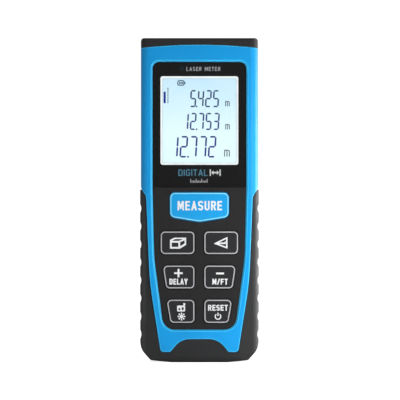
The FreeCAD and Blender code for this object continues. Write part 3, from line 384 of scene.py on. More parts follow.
def spread(tree, value, low, high, start=0.3, end=0.7):
    """The value between start and end, spread from low to high and kept there."""
    node = tree.nodes.new("ShaderNodeMapRange")
    node.inputs["From Min"].default_value = start
    node.inputs["From Max"].default_value = end
    node.inputs["To Min"].default_value = low
    node.inputs["To Max"].default_value = high
    tree.links.new(value, node.inputs["Value"])
    return node.outputs["Result"]


def mixed(tree, share, first, second):
    """A colour that goes from first to second; each is a colour or another node's colour."""
    node = tree.nodes.new("ShaderNodeMix")
    node.data_type = "RGBA"
    sockets = [socket for socket in node.inputs if socket.type == "RGBA"]
    tree.links.new(share, node.inputs["Factor"])
    for socket, colour in zip(sockets, (first, second)):
        if isinstance(colour, bpy.types.NodeSocket):
            tree.links.new(colour, socket)
        else:
            socket.default_value = (*colour, 1)
    return [socket for socket in node.outputs if socket.type == "RGBA"][0]


def math_node(tree, operation, first, second):
    node = tree.nodes.new("ShaderNodeMath")
    node.operation = operation
    for socket, value in zip(node.inputs, (first, second)):
        if isinstance(value, bpy.types.NodeSocket):
            tree.links.new(value, socket)
        else:
            socket.default_value = value
    return node.outputs["Value"]


def add_bump(tree, shader, height, depth):
    """Bump of the given depth in millimetres."""
    node = tree.nodes.new("ShaderNodeBump")
    node.inputs["Distance"].default_value = depth * MM
    tree.links.new(height, node.inputs["Height"])
    tree.links.new(node.outputs["Normal"], shader.inputs["Normal"])


def along(tree, axis):
    """The place along an axis, in metres."""
    coordinates = tree.nodes.new("ShaderNodeTexCoord")
    parts = tree.nodes.new("ShaderNodeSeparateXYZ")
    tree.links.new(coordinates.outputs["Object"], parts.inputs["Vector"])
    return parts.outputs[axis]


def edge_highlight_mask(tree):
    """Where the painted highlight on sharp edges goes: 0 on the surface's flat parts and 1 on the edge."""
    rounded = tree.nodes.new("ShaderNodeBevel")
    rounded.samples = EDGE_SAMPLES
    rounded.inputs["Radius"].default_value = EDGE_REACH * MM
    geometry = tree.nodes.new("ShaderNodeNewGeometry")
    likeness = tree.nodes.new("ShaderNodeVectorMath")
    likeness.operation = "DOT_PRODUCT"
    tree.links.new(rounded.outputs["Normal"], likeness.inputs[0])
    tree.links.new(geometry.outputs["True Normal"], likeness.inputs[1])
    return spread(tree, likeness.outputs["Value"], 1, 0, EDGE_TURN, FLAT_TURN)


def darker(colour, share):
    return tuple(part * share for part in colour)


# Materials


def moulded(name, colour, roughness, grain, depth, specular, scuffs, edges):
    """Moulded plastic or rubber: eroded grain, cloudy colour and gloss, faint rubbed streaks, and a painted
    edge highlight if given.
    """
    material, tree, shader = new_material(name)
    clouds = noise(tree, CLOUD_SIZE, 3.0)
    streaks = noise(tree, STREAK_SIZE, 4.0, STREAK_STRETCH)
    worn = spread(tree, streaks, 0.0, 1.0, 0.62, 0.74)
    base = mixed(tree, spread(tree, clouds, 0, 1), darker(colour, CLOUD_SHADE), colour)
    lifted = tuple(part + scuffs for part in colour)
    scuffed_and_highlit = mixed(tree, math_node(tree, "MULTIPLY", worn, SCUFF_COVER), base, lifted)
    # Painted highlight: sharp edges get a lighter colour that stands in for the light catching them
    if edges:
        scuffed_and_highlit = mixed(tree, edge_highlight_mask(tree), scuffed_and_highlit, edges)
    tree.links.new(scuffed_and_highlit, shader.inputs["Base Color"])
    gloss = spread(tree, noise(tree, GLOSS_PATCH, 3.0), roughness - GLOSS_RANGE, roughness + GLOSS_RANGE)
    rubbed = math_node(tree, "MULTIPLY", worn, SCUFF_POLISH)
    tree.links.new(math_node(tree, "ADD", gloss, rubbed), shader.inputs["Roughness"])
    add_bump(tree, shader, noise(tree, grain, 3.0), depth)
    shader.inputs["Specular IOR Level"].default_value = specular
    return material


def printed(name, colour, roughness, tooth):
    """Screen-printed ink: slightly uneven cover with a fine tooth."""
    material, tree, shader = new_material(name)
    cover = spread(tree, noise(tree, 0.6, 2.0), 0, 1)
    tree.links.new(mixed(tree, cover, darker(colour, INK_SHADE), colour), shader.inputs["Base Color"])
    dull = roughness * (1 + INK_GLOSS_RANGE)
    glossy = roughness * (1 - INK_GLOSS_RANGE)
    tree.links.new(spread(tree, noise(tree, 0.25), glossy, dull), shader.inputs["Roughness"])
    add_bump(tree, shader, noise(tree, 0.12), tooth)
    return material


def metal(name, colour, roughness, brushed, grain):
    """Metal with fine drawn or cast grain and a few duller spots."""
    material, tree, shader = new_material(name)
    shader.inputs["Metallic"].default_value = 1.0
    spots = spread(tree, noise(tree, METAL_SPOT, 4.0), 0, 1)
    tree.links.new(mixed(tree, spots, darker(colour, METAL_SHADE), colour), shader.inputs["Base Color"])
    lines = noise(tree, grain, 4.0, brushed)
    tree.links.new(spread(tree, lines, roughness - 0.08, roughness + 0.12), shader.inputs["Roughness"])
    add_bump(tree, shader, lines, METAL_GRAIN_DEPTH)
    return material


def clear_glass(name, tint, ior):
    """Polished glass that lets lamps through, with faint wipe marks in its gloss."""
    material, tree, shader = new_material(name)
    shader.inputs["Base Color"].default_value = (*tint, 1)
    shader.inputs["Transmission Weight"].default_value = 1.0
    shader.inputs["IOR"].default_value = ior
    wipes = noise(tree, WIPE_SIZE, 5.0, WIPE_STRETCH)
    tree.links.new(spread(tree, wipes, 0.0, WIPE_ROUGHNESS, 0.5, 0.8), shader.inputs["Roughness"])
    let_through = tree.nodes.new("ShaderNodeBsdfTransparent")
    path = tree.nodes.new("ShaderNodeLightPath")
    choose = tree.nodes.new("ShaderNodeMixShader")
    tree.links.new(path.outputs["Is Shadow Ray"], choose.inputs[0])
    tree.links.new(shader.outputs["BSDF"], choose.inputs[1])
    tree.links.new(let_through.outputs["BSDF"], choose.inputs[2])
    tree.links.new(choose.outputs["Shader"], tree.nodes["Material Output"].inputs["Surface"])
    return material


def lit_display(name, lowest, highest):
    """The backlit display: cool white, bluer towards the top, with the faint unevenness of a light guide."""
    material, tree, shader = new_material(name)
    height = spread(tree, along(tree, "Z"), 0, 1, lowest, highest)
    ramp = tree.nodes.new("ShaderNodeValToRGB")
    stops = zip(ramp.color_ramp.elements, (GLOW_START, GLOW_STOP), (GLOW_LOW, GLOW_HIGH))
    for element, position, colour in stops:
        element.position = position
        element.color = (*colour, 1)
    tree.links.new(height, ramp.inputs["Fac"])
    patches = spread(tree, noise(tree, GLOW_PATCH_SIZE, 2.0), 0, 0.25)
    glow = mixed(tree, patches, ramp.outputs["Color"], GLOW_PATCH)
    tree.links.new(glow, shader.inputs["Emission Color"])
    shader.inputs["Emission Strength"].default_value = DISPLAY_GLOW
    shader.inputs["Base Color"].default_value = (*DISPLAY_UNLIT, 1)
    tree.links.new(spread(tree, noise(tree, 0.2), 0.25, 0.35), shader.inputs["Roughness"])
    return material


def display_segments(name, lowest, highest):
    """Driven liquid crystal: blue-violet low in the display and greyer higher up."""
    material, tree, shader = new_material(name)
    height = spread(tree, along(tree, "Z"), 0, 1, lowest, highest)
    shade = mixed(tree, height, SEGMENT_LOW, SEGMENT_HIGH)
    uneven = spread(tree, noise(tree, 1.5), 0, 0.3)
    tree.links.new(mixed(tree, uneven, shade, SEGMENT_PATCH), shader.inputs["Base Color"])
    tree.links.new(spread(tree, noise(tree, 0.3), 0.45, 0.6), shader.inputs["Roughness"])
    return material


def edge_light(name):
    """The white edge of the display's light guide."""
    material, tree, shader = new_material(name)
    shader.inputs["Emission Color"].default_value = (*GUIDE_GLOW, 1)
    tree.links.new(spread(tree, noise(tree, 4.0), 0.85, 1.0), shader.inputs["Emission Strength"])
    tree.links.new(spread(tree, noise(tree, 0.3), 0.4, 0.6), shader.inputs["Roughness"])
    shader.inputs["Base Color"].default_value = (*GUIDE_UNLIT, 1)
    return material


def circuit_board(name):
    """Green solder mask over rows of copper tracks."""
    material, tree, shader = new_material(name)
    coordinates = tree.nodes.new("ShaderNodeTexCoord")
    swap = tree.nodes.new("ShaderNodeMapping")
    swap.inputs["Rotation"].default_value = (math.radians(90), 0, 0)
    tracks = tree.nodes.new("ShaderNodeTexBrick")
    tracks.inputs["Scale"].default_value = 1 / (TRACK_SIZE * MM)
    tracks.inputs["Mortar Size"].default_value = TRACK_GAP
    tree.links.new(coordinates.outputs["Object"], swap.inputs["Vector"])
    tree.links.new(swap.outputs["Vector"], tracks.inputs["Vector"])
    mask = mixed(tree, spread(tree, noise(tree, 4.0), 0, 1), *BOARD_SHADES)
    tree.links.new(mixed(tree, tracks.outputs["Fac"], mask, BOARD_TRACK), shader.inputs["Base Color"])
    tree.links.new(spread(tree, noise(tree, 0.5), 0.25, 0.4), shader.inputs["Roughness"])
    add_bump(tree, shader, tracks.outputs["Fac"], TRACK_DEPTH)
    return material


def cell_jacket(name, low, high, nub_up):
    """A battery cell: steel ends, a dark printed jacket and a copper band at the positive end."""
    material, tree, shader = new_material(name)
    place = along(tree, "Z")
    rim = CELL_RIM * MM
    band = CELL_BAND * MM
    below = math_node(tree, "LESS_THAN", place, low + rim)
    above = math_node(tree, "GREATER_THAN", place, high - rim)
    steel = math_node(tree, "ADD", below, above)
    if nub_up:
        coppery = math_node(tree, "GREATER_THAN", place, high - band)
    else:
        coppery = math_node(tree, "LESS_THAN", place, low + band)
    scuffs = spread(tree, noise(tree, 1.5, 4.0, (1, 1, 5)), 0, 1)
    jacket = mixed(tree, coppery, mixed(tree, scuffs, *CELL_SHADES), CELL_COPPER)
    tree.links.new(mixed(tree, steel, jacket, CELL_STEEL), shader.inputs["Base Color"])
    tree.links.new(math_node(tree, "MAXIMUM", steel, coppery), shader.inputs["Metallic"])
    tree.links.new(spread(tree, noise(tree, 0.8), 0.22, 0.38), shader.inputs["Roughness"])
    return material


def label_film(name):
    """Brushed silver film."""
    material, tree, shader = new_material(name)
    lines = noise(tree, FILM_LINE, 3.0, FILM_LINE_STRETCH)
    shader.inputs["Metallic"].default_value = FILM_METALLIC
    tree.links.new(mixed(tree, spread(tree, lines, 0, 1), *FILM_SHADES), shader.inputs["Base Color"])
    tree.links.new(spread(tree, lines, 0.32, 0.46), shader.inputs["Roughness"])
    add_bump(tree, shader, lines, FILM_LINE_DEPTH)
    return material


def foam(name):
    """Foam with fine open pores, darkened inside by painted shade."""
    material, tree, shader = new_material(name)
    cells = tree.nodes.new("ShaderNodeTexVoronoi")
    cells.inputs["Scale"].default_value = 1 / (FOAM_PORE * MM)
    coordinates = tree.nodes.new("ShaderNodeTexCoord")
    tree.links.new(coordinates.outputs["Object"], cells.inputs["Vector"])
    # Painted shade: darker towards the middle of each pore, where the bump sinks in
    shade = spread(tree, cells.outputs["Distance"], 0, 1, 0.1, 0.6)
    tree.links.new(mixed(tree, shade, *FOAM_PORE_SHADING), shader.inputs["Base Color"])
    shader.inputs["Roughness"].default_value = FOAM_ROUGHNESS
    add_bump(tree, shader, cells.outputs["Distance"], FOAM_PORE_DEPTH)
    return material


def make_materials():
    """Every material of the object by name."""
    cell_low, cell_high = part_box("lcd_cell")
    materials = {
        "edge_light": edge_light("edge_light"),
        "lcd": lit_display("lcd", cell_low.z, cell_high.z),
        "segments": display_segments("segments", cell_low.z, cell_high.z),
        "board": circuit_board("board"),
        "foam": foam("foam"),
        "label_film": label_film("label_film"),
    }
    for name, values in MOULDED.items():
        materials[name] = moulded(name, *values, EDGE_HIGHLIGHT_COLOURS.get(name))
    for name, values in INKS.items():
        materials[name] = printed(name, *values)
    for name, values in METALS.items():
        materials[name] = metal(name, *values)
    for name, values in GLASSES.items():
        materials[name] = clear_glass(name, *values)
    for side, nub_up in (("left", True), ("right", False)):
        low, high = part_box("battery_cell_" + side)
        name = "cell_jacket_" + side
        materials[name] = cell_jacket(name, low.z, high.z, nub_up)
    return materials


def dress_nodes(frame, materials):
    """Gives every CAD node its material."""
    for node, name in NODE_MATERIALS.items():
        mesh = frame["nodes"][node].data
        mesh.materials.clear()
        mesh.materials.append(materials[name])


# Flat printed shapes


def mesh_from_curve(curve):
    """The filled curve as a closed mesh."""
    holder = bpy.data.objects.new(curve.name, curve)
    bpy.context.scene.collection.objects.link(holder)
    bpy.context.view_layer.update()
    evaluated = holder.evaluated_get(bpy.context.evaluated_depsgraph_get())
    mesh = bpy.data.meshes.new_from_object(evaluated)
    bpy.data.objects.remove(holder)
    solid = bmesh.new()
    solid.from_mesh(mesh)
    bmesh.ops.remove_doubles(solid, verts=solid.verts, dist=TINY)
    bmesh.ops.recalc_face_normals(solid, faces=solid.faces)
    solid.to_mesh(mesh)
    solid.free()
    return mesh


def outline_curve(name, outlines, thickness):
    """A flat filled curve; an outline inside another is a hole."""
    curve = bpy.data.curves.new(name, "CURVE")
    curve.dimensions = "2D"
    curve.fill_mode = "BOTH"
    curve.extrude = thickness / 2
    for points in outlines:
        spline = curve.splines.new("POLY")
        spline.points.add(len(points) - 1)
        for point, (x, z) in zip(spline.points, points):
            point.co = (x, z, 0, 1)
        spline.use_cyclic_u = True
    return curve


def round_turns(points, reach):
    """The line with each of its turns drawn as a curve that starts and ends at the reach from the corner."""
    line = [Vector(points[0])]
    for before, corner, after in zip(points, points[1:], points[2:]):
        corner = Vector(corner)
        back = Vector(before) - corner
        ahead = Vector(after) - corner
        start = corner + back * min(reach / back.length, 0.5)
        end = corner + ahead * min(reach / ahead.length, 0.5)
        for step in range(LETTER_STEPS + 1):
            share = step / LETTER_STEPS
            line.append(start.lerp(corner, share).lerp(corner.lerp(end, share), share))
    line.append(Vector(points[-1]))
    steps = zip(line, line[1:])
    return line[:1] + [place for before, place in steps if (place - before).length > TINY]


def slanting_stroke(start, end, half):
    """A straight slanting stroke whose ends are level, half a stroke beyond its points."""
    low, high = sorted((start, end), key=lambda place: place.y)
    slope = (high.x - low.x) / (high.y - low.y)
    beyond = Vector((slope, 1)) * half
    across = Vector((half * math.hypot(1, slope), 0))
    low = low - beyond
    high = high + beyond
    return [[low - across, low + across, high + across, high - across]]


def pen_stroke(line, half):
    """Four-sided shapes that together cover a line drawn with a square-ended pen."""
    directions = [(there - here).normalized() for here, there in zip(line, line[1:])]
    line = [line[0] - directions[0] * half] + line[1:-1] + [line[-1] + directions[-1] * half]
    sides = []
    for place, back, ahead in zip(line, directions[:1] + directions, directions + directions[-1:]):
        middle = (back + ahead).normalized()
        side = Vector((-middle.y, middle.x)) * half / middle.dot(ahead)
        sides.append((place - side, place + side))
    return [[here[0], there[0], there[1], here[1]] for here, there in zip(sides, sides[1:])]


def letter_shapes(words, height, width, stroke, gap):
    """The shapes that make up the words, centred and standing on zero."""
    spaces = gap * (len(words) - 1) + stroke * len(words)
    unit = (width - spaces) / sum(LETTERS[letter][0] for letter in words)
    half = stroke / 2
    shapes = []
    left = half - width / 2
    for letter in words:
        letter_width = LETTERS[letter][0] * unit
        for points in LETTERS[letter][1]:
            places = [(left + x * letter_width, half + z * (height - stroke)) for x, z in points]
            line = round_turns(places, max(LETTER_ROUND * unit, LEAST_ROUND * stroke))
            run = line[-1] - line[0]
            if len(line) == 2 and min(abs(run.x), abs(run.y)) > TINY:
                shapes += slanting_stroke(line[0], line[-1], half)
            else:
                shapes += pen_stroke(line, half)
        left += letter_width + stroke + gap
    return shapes


def covers(shape, place):
    """Whether a convex shape, which is listed anticlockwise, covers the place."""
    return all((there - here).cross(place - here) >= 0 for here, there in zip(shape, shape[1:] + shape[:1]))


def plate_of_shapes(name, shapes, thickness):
    """A closed flat plate that covers all of the convex shapes, which may overlap."""
    shapes = [[Vector([round(length, PLACES) for length in place]) for place in shape] for shape in shapes]
    corners = []
    faces = []
    for shape in shapes:
        faces.append(list(range(len(corners), len(corners) + len(shape))))
        corners += shape
    places, _, triangles, *_ = delaunay_2d_cdt(corners, [], faces, WHOLE_HULL, MERGE)
    plate = bmesh.new()
    lower = [plate.verts.new((place.x, place.y, -thickness / 2)) for place in places]
    for triangle in triangles:
        middle = sum((places[index] for index in triangle), Vector((0, 0))) / len(triangle)
        if any(covers(shape, middle) for shape in shapes):
            plate.faces.new([lower[index] for index in triangle])
    bmesh.ops.delete(plate, geom=[vertex for vertex in lower if not vertex.link_faces], context="VERTS")
    bmesh.ops.dissolve_limit(plate, angle_limit=FLAT_ANGLE, verts=plate.verts, edges=plate.edges)
    raised = bmesh.ops.extrude_face_region(plate, geom=plate.faces[:])["geom"]
    upper = [item for item in raised if isinstance(item, bmesh.types.BMVert)]
    bmesh.ops.translate(plate, verts=upper, vec=(0, 0, thickness))
    bmesh.ops.recalc_face_normals(plate, faces=plate.faces)
    mesh = bpy.data.meshes.new(name)
    plate.to_mesh(mesh)
    plate.free()
    return mesh


def place_print(name, mesh, material, body, x, face, z):
    """Puts a flat mesh on the surface at y = face, as a piece that rides on the body; x and z are in mm."""
    middle = Vector((x * MM, face - (PRINT_HEIGHT - PRINT_THICKNESS / 2) * MM, z * MM))
    mesh.transform(Matrix.Translation(middle) @ FACING_FRONT @ Matrix.Scale(MM, 4))
    mesh.materials.clear()
    mesh.materials.append(material)
    mesh.shade_flat()
    piece = bpy.data.objects.new(name, mesh)
    bpy.context.scene.collection.objects.link(piece)
    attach(piece, body)


def print_shape(name, outlines, material, body, x, face, z):
    """Prints outlines with their origin at x and z; an outline inside another is a hole."""
    mesh = mesh_from_curve(outline_curve(name, outlines, PRINT_THICKNESS))
    place_print(name, mesh, material, body, x, face, z)


def print_letters(name, shapes, material, body, x, face, z):
    """Prints letters, given as the shapes they are made of, centred on x and standing on z."""
    place_print(name, plate_of_shapes(name, shapes, PRINT_THICKNESS), material, body, x, face, z)


def rectangle(left, bottom, right, top):
    """A rectangle's corners, anticlockwise."""
    return [(left, bottom), (right, bottom), (right, top), (left, top)]


def rounded_rectangle(left, bottom, right, top, radius, steps=6):
    """A rectangle whose corners are arcs."""
    points = []
    centres = [
        (right - radius, top - radius),
        (left + radius, top - radius),
        (left + radius, bottom + radius),
        (right - radius, bottom + radius),
    ]
    for quarter, (x, z) in enumerate(centres):
        for step in range(steps + 1):
            angle = math.pi / 2 * (quarter + step / steps)
            points.append((x + radius * math.cos(angle), z + radius * math.sin(angle)))
    return points


def circle(radius, steps):
    """Points round the origin, anticlockwise."""
    angles = [2 * math.pi * step / steps for step in range(steps)]
    return [(radius * math.cos(angle), radius * math.sin(angle)) for angle in angles]


def moved_in(points, distance):
    """A convex outline, listed anticlockwise, with every side moved in."""
    result = []
    for index, point in enumerate(points):
        here = Vector(point)
        back = (here - Vector(points[index - 1])).normalized()
        ahead = (Vector(points[(index + 1) % len(points)]) - here).normalized()
        inward = Vector((-back.y - ahead.y, back.x + ahead.x)).normalized()
        reach = distance / max(inward.dot(Vector((-ahead.y, ahead.x))), 0.2)
        result.append(tuple(here + inward * reach))
    return result


# Display contents


def bar(x0, z0, x1, z1, thickness):
    """One bar of a digit: a slim hexagon between two points, level or upright."""
    half = thickness / 2
    if abs(x1 - x0) > abs(z1 - z0):
        x0, x1 = x0 + SEGMENT_GAP + half, x1 - SEGMENT_GAP - half
        return [
            (x0 - half, z0),
            (x0, z0 - half),
            (x1, z0 - half),
            (x1 + half, z0),
            (x1, z0 + half),
            (x0, z0 + half),
        ]
    z0, z1 = z0 + SEGMENT_GAP + half, z1 - SEGMENT_GAP - half
    return [
        (x0, z0 - half),
        (x0 + half, z0),
        (x0 + half, z1),
        (x0, z1 + half),
        (x0 - half, z1),
        (x0 - half, z0),
    ]


def digit_bars(digit, width, height, thickness):
    """The lit bars of one digit, with its lower right corner at the origin."""
    middle = height / 2
    places = {
        "a": (-width, height, 0, height),
        "b": (0, middle, 0, height),
        "c": (0, 0, 0, middle),
        "d": (-width, 0, 0, 0),
        "e": (-width, 0, -width, middle),
        "f": (-width, middle, -width, height),
        "g": (-width, middle, 0, middle),
    }
    return [bar(*places[letter], thickness) for letter in LIT_BARS[digit]]


def reading_outlines(digits, width, height, pitch, thickness):
    """All bars and the decimal point of a reading; the last digit's lower right corner is the origin."""
    outlines = []
    x = 0.0
    for sign in reversed(digits):
        if sign == ".":
            dot = x + (pitch - width) / 2
            half = thickness / 2
            outlines.append(rectangle(dot - half, -half, dot + half, half))
            continue
        for outline in digit_bars(sign, width, height, thickness):
            outlines.append([(x + along_x, z) for along_x, z in outline])
        x -= pitch
    return [[(px + SLANT * (pz - height / 2), pz) for px, pz in outline] for outline in outlines]


def add_readings(materials, window, face):
    """The three readings and their units."""
    left, bottom, *_ = window
    for index, (digits, x, z, width, height, pitch, thickness) in enumerate(READINGS):
        outlines = reading_outlines(digits, width, height, pitch, thickness)
        name = f"display_reading_{index + 1}"
        print_shape(name, outlines, materials["segments"], "housing", left + x, face, bottom + z)
    for index, (x, z, *form) in enumerate(UNITS):
        name = f"display_unit_{index + 1}"
        shapes = letter_shapes("m", *form, 0)
        print_letters(name, shapes, materials["unit_segments"], "housing", left + x, face, bottom + z)


def battery_icon():
    """A battery lying on its side, with three bars of charge."""
    shell = rounded_rectangle(-1.45, -1.0, 1.2, 1.0, 0.7)
    inside = rounded_rectangle(-1.1, -0.65, 0.85, 0.65, 0.4)
    tip = rectangle(1.22, -0.4, 1.5, 0.4)
    charge = [rectangle(-0.85 + 0.58 * step, -0.42, -0.45 + 0.58 * step, 0.42) for step in range(3)]
    return [shell, inside, tip] + charge


def beam_icon():
    """A dashed beam that ends in an arrowhead."""
    dashes = [rectangle(-0.2, 0.85 * step, 0.2, 0.85 * step + 0.6) for step in range(6)]
    head = [(-0.36, 5.1), (0.36, 5.1), (0.0, 5.75)]
    return dashes + [head]


def add_display_signs(materials, window, face):
    """The battery sign, and the sign that shows which edge is measured from."""
    signs = [
        ("display_battery_sign", battery_icon(), "segments", BATTERY_SIGN_PLACE),
        ("display_edge_bar", [rectangle(-0.4, -2.1, 0.4, 2.1)], "bar_segment", EDGE_BAR_PLACE),
        ("display_edge_beam", beam_icon(), "unit_segments", EDGE_BEAM_PLACE),
    ]
    left, bottom, *_ = window
    for name, outlines, ink, (x, z) in signs:
        print_shape(name, outlines, materials[ink], "housing", left + x, face, bottom + z)


def window_box(frame):
    """The left, bottom, right and top of the opening in the mask, in millimetres."""
    low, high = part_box("lcd_cell")
    places = [vertex.co / MM for vertex in frame["nodes"]["display_mask"].data.vertices]
    xs = [place.x for place in places if abs(place.x) < high.x / MM and low.z < place.z * MM < high.z]
    zs = [place.z for place in places if abs(place.x) < high.x / MM and low.z < place.z * MM < high.z]
    return min(xs), min(zs), max(xs), max(zs)


def add_display_edge(materials, window, face):
    """The white frame round the lit area, and the thin line inside it."""
    left, bottom, right, top = window

    def inset(distance, radius):
        return rounded_rectangle(left + distance, bottom + distance, right - distance, top - distance, radius)

    frame_rings = [inset(-EDGE_MARGIN, EDGE_ROUND), inset(EDGE_WIDTH, EDGE_ROUND)]
    line_rings = [inset(EDGE_WIDTH, EDGE_ROUND), inset(EDGE_WIDTH + LINE_WIDTH, EDGE_ROUND)]
    print_shape("display_edge", frame_rings, materials["edge_light"], "housing", 0, face, 0)
    print_shape("display_edge_line", line_rings, materials["line_ink"], "housing", 0, face, 0)


# Keys


def front_outline(frame, node):
    """The outline of the flat front of a key, in millimetres and anticlockwise."""
    low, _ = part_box(node)
    flat = [vertex.co for vertex in frame["nodes"][node].data.vertices if vertex.co.y < low.y + NEAR * MM]
    places = [Vector((place.x / MM, place.z / MM)) for place in flat]
    outline = []
    for index in convex_hull_2d(places):
        if all((places[index] - kept).length > NEAR for kept in outline):
            outline.append(places[index])
    return [tuple(place) for place in outline]


def key_front(key):
    """The middle of a key's front: x and z in millimetres, and the face's y in metres."""
    low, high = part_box(key)
    return (low.x + high.x) / 2 / MM, low.y, (low.z + high.z) / 2 / MM


def add_key_outlines(frame, materials):
    """The line round the front of each key."""
    for node in frame["nodes"]:
        if node.startswith("key_") and node != "key_domes":
            outer = front_outline(frame, node)
            rings = [outer, moved_in(outer, OUTLINE_WIDTH)]
            ink = materials["main_outline_ink" if node == "key_measure" else "outline_ink"]
            print_shape(node + "_outline", rings, ink, node, 0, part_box(node)[0].y, 0)


def box_icon():
    """A block seen from above its corner."""
    silhouette = [(-2.95, -2.0), (0.7, -2.0), (2.95, -0.6), (2.95, 2.0), (-1.3, 2.0), (-2.95, 1.2)]
    front = [(-2.3, -1.35), (0.1, -1.35), (0.1, 0.2), (-2.3, 0.2)]
    top = [(-2.2, 0.85), (0.3, 0.85), (1.85, 1.5), (-1.1, 1.5)]
    side = [(0.75, -1.1), (2.35, -0.15), (2.35, 1.05), (0.75, 0.35)]
    return [silhouette, front, top, side]


def triangle_icon():
    """A triangle with a sight line from its left corner and a mark in its upper part."""
    outside = [(-2.6, -0.25), (2.4, -2.1), (2.4, 2.2)]
    upper = [(-0.75, 0.15), (1.05, 0.15), (1.9, 0.65), (1.9, 1.4)]
    lower = [(-0.75, -0.4), (1.9, -1.4), (1.9, -0.4)]
    mark = [(1.35, -0.1), (1.9, -0.1), (1.9, 0.2)]
    return [outside, upper, lower, mark]


def plus_icon():
    """A plus sign."""
    reach = 1.55
    half = 0.34
    right = [(half, -reach), (half, -half), (reach, -half), (reach, half), (half, half), (half, reach)]
    left = [(-x, -z) for x, z in right]
    return [right + left]


def minus_icon():
    """A minus sign."""
    return [rectangle(-1.45, -0.34, 1.45, 0.34)]


def sun_icon():
    """A disc with eight rays."""
    radius = 1.4
    outlines = [circle(radius * 0.48, 20)]
    for ray in range(8):
        angle = math.pi / 4 * ray
        out = Vector((math.cos(angle), math.sin(angle)))
        across = Vector((-out.y, out.x)) * radius * 0.19
        near = out * radius * 0.56
        far = out * radius
        corners = (near - across * 0.8, far - across, far + across, near + across * 0.8)
        outlines.append([tuple(corner) for corner in corners])
    return outlines


def edge_icon():
    """A meter beside the edge that it measures from."""
    body = rounded_rectangle(-1.45, -1.45, 1.45, 0.75, 0.35)
    left_hole = rounded_rectangle(-0.95, -0.95, -0.3, -0.2, 0.15)
    right_hole = rounded_rectangle(0.25, -0.95, 0.95, 0.15, 0.25)
    beam = rectangle(0.8, 0.8, 1.5, 1.6)
    return [body, left_hole, right_hole, beam]


def power_icon():
    """An open ring with an upright bar in its gap."""
    radius = 1.2
    stroke = 0.4
    half_gap = math.radians(38)
    steps = 28
    span = 2 * (math.pi - half_gap)
    turns = [math.pi / 2 + half_gap + span * step / steps for step in range(steps + 1)]
    ring = [(radius * math.cos(turn), radius * math.sin(turn)) for turn in turns]
    inside = radius - stroke
    ring += [(inside * math.cos(turn), inside * math.sin(turn)) for turn in reversed(turns)]
    return [ring, rectangle(-stroke / 2, radius * 0.15, stroke / 2, radius * 1.15)]


def add_legends(materials):
    """The words and signs on the keys."""
    icons = {
        "box_icon": box_icon(),
        "triangle_icon": triangle_icon(),
        "plus_icon": plus_icon(),
        "minus_icon": minus_icon(),
        "edge_icon": edge_icon(),
        "sun_icon": sun_icon(),
        "power_icon": power_icon(),
    }
    ink = materials["white_ink"]
    for key, part, shown, x, z, *form in LEGENDS:
        middle_x, face, middle_z = key_front(key)
        name = f"{key}_{part}"
        if shown in icons:
            print_shape(name, icons[shown], ink, key, middle_x + x, face, middle_z + z)
        else:
            print_letters(name, letter_shapes(shown, *form), ink, key, middle_x + x, face, middle_z + z)


# Prints behind the lens


def span_icon():
    """A double arrow between two bars."""
    arrow = [(-1.45, 0), (-0.6, 0.85), (-0.6, 0.28), (0.6, 0.28), (0.6, 0.85), (1.45, 0)]
    arrow += [(x, -z) for x, z in reversed(arrow[1:-1])]
    bars = [rectangle(-2.0, -1.2, -1.55, 1.2), rectangle(1.55, -1.2, 2.0, 1.2)]
    return [arrow] + bars


def chevron_icon():
    """Two chevrons that point to the right."""
    return [[(x - 0.95, -0.95), (x, 0), (x - 0.95, 0.95), (x - 0.4, 0)] for x in (0.1, 1.0)]


def scale_icon():
    """A row of ruler ticks."""
    ticks = []
    for step in range(TICKS):
        x = TICK_START + TICK_PITCH * step
        height = TICK_HEIGHT if step % LONG_EVERY else LONG_TICK
        ticks.append(rectangle(x, 0, x + TICK_WIDTH, height))
    return ticks


def add_lens_prints(materials, window):
    """The words and signs on the print behind the lens."""
    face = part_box("display_mask")[0].y
    left, bottom, *_ = window

    def words(name, text, ink, x, z, *form):
        shapes = letter_shapes(text, *form)
        print_letters(name, shapes, materials[ink], "housing", left + x, face, bottom + z)

    def sign(name, outlines, ink, place):
        x, z = place
        print_shape(name, outlines, materials[ink], "housing", left + x, face, bottom + z)

    words("lens_title", *LENS_TITLE)
    sign("lens_mark", chevron_icon(), "dark_teal_ink", LENS_MARK_PLACE)
    words("lens_word", *LENS_WORD)
    sign("lens_span", span_icon(), "white_ink", LENS_SPAN_PLACE)
    sign("lens_scale", scale_icon(), "grey_ink", LENS_SCALE_PLACE)


def add_gap_cover(materials):
    """A black print across the gap between the lens and the keypad, which hides the blue ledge behind the
    gap.
    """
    lens_low, lens_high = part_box("display_lens")
    keypad_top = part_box("keypad_panel")[1]
    gap_cover = rectangle(lens_low.x / MM, keypad_top.z / MM, lens_high.x / MM, lens_low.z / MM)
    print_shape("panel_gap_cover", [gap_cover], materials["mask_ink"], "housing", 0, keypad_top.y, 0)


# Studio


def seen_by_camera(tree, otherwise, seen):
    """A value that differs between what the camera sees and what lights the object."""
    path = tree.nodes.new("ShaderNodeLightPath")
    value = tree.nodes.new("ShaderNodeMapRange")
    value.inputs["To Min"].default_value = otherwise
    value.inputs["To Max"].default_value = seen
    tree.links.new(path.outputs["Is Camera Ray"], value.inputs["Value"])
    return value.outputs["Result"]


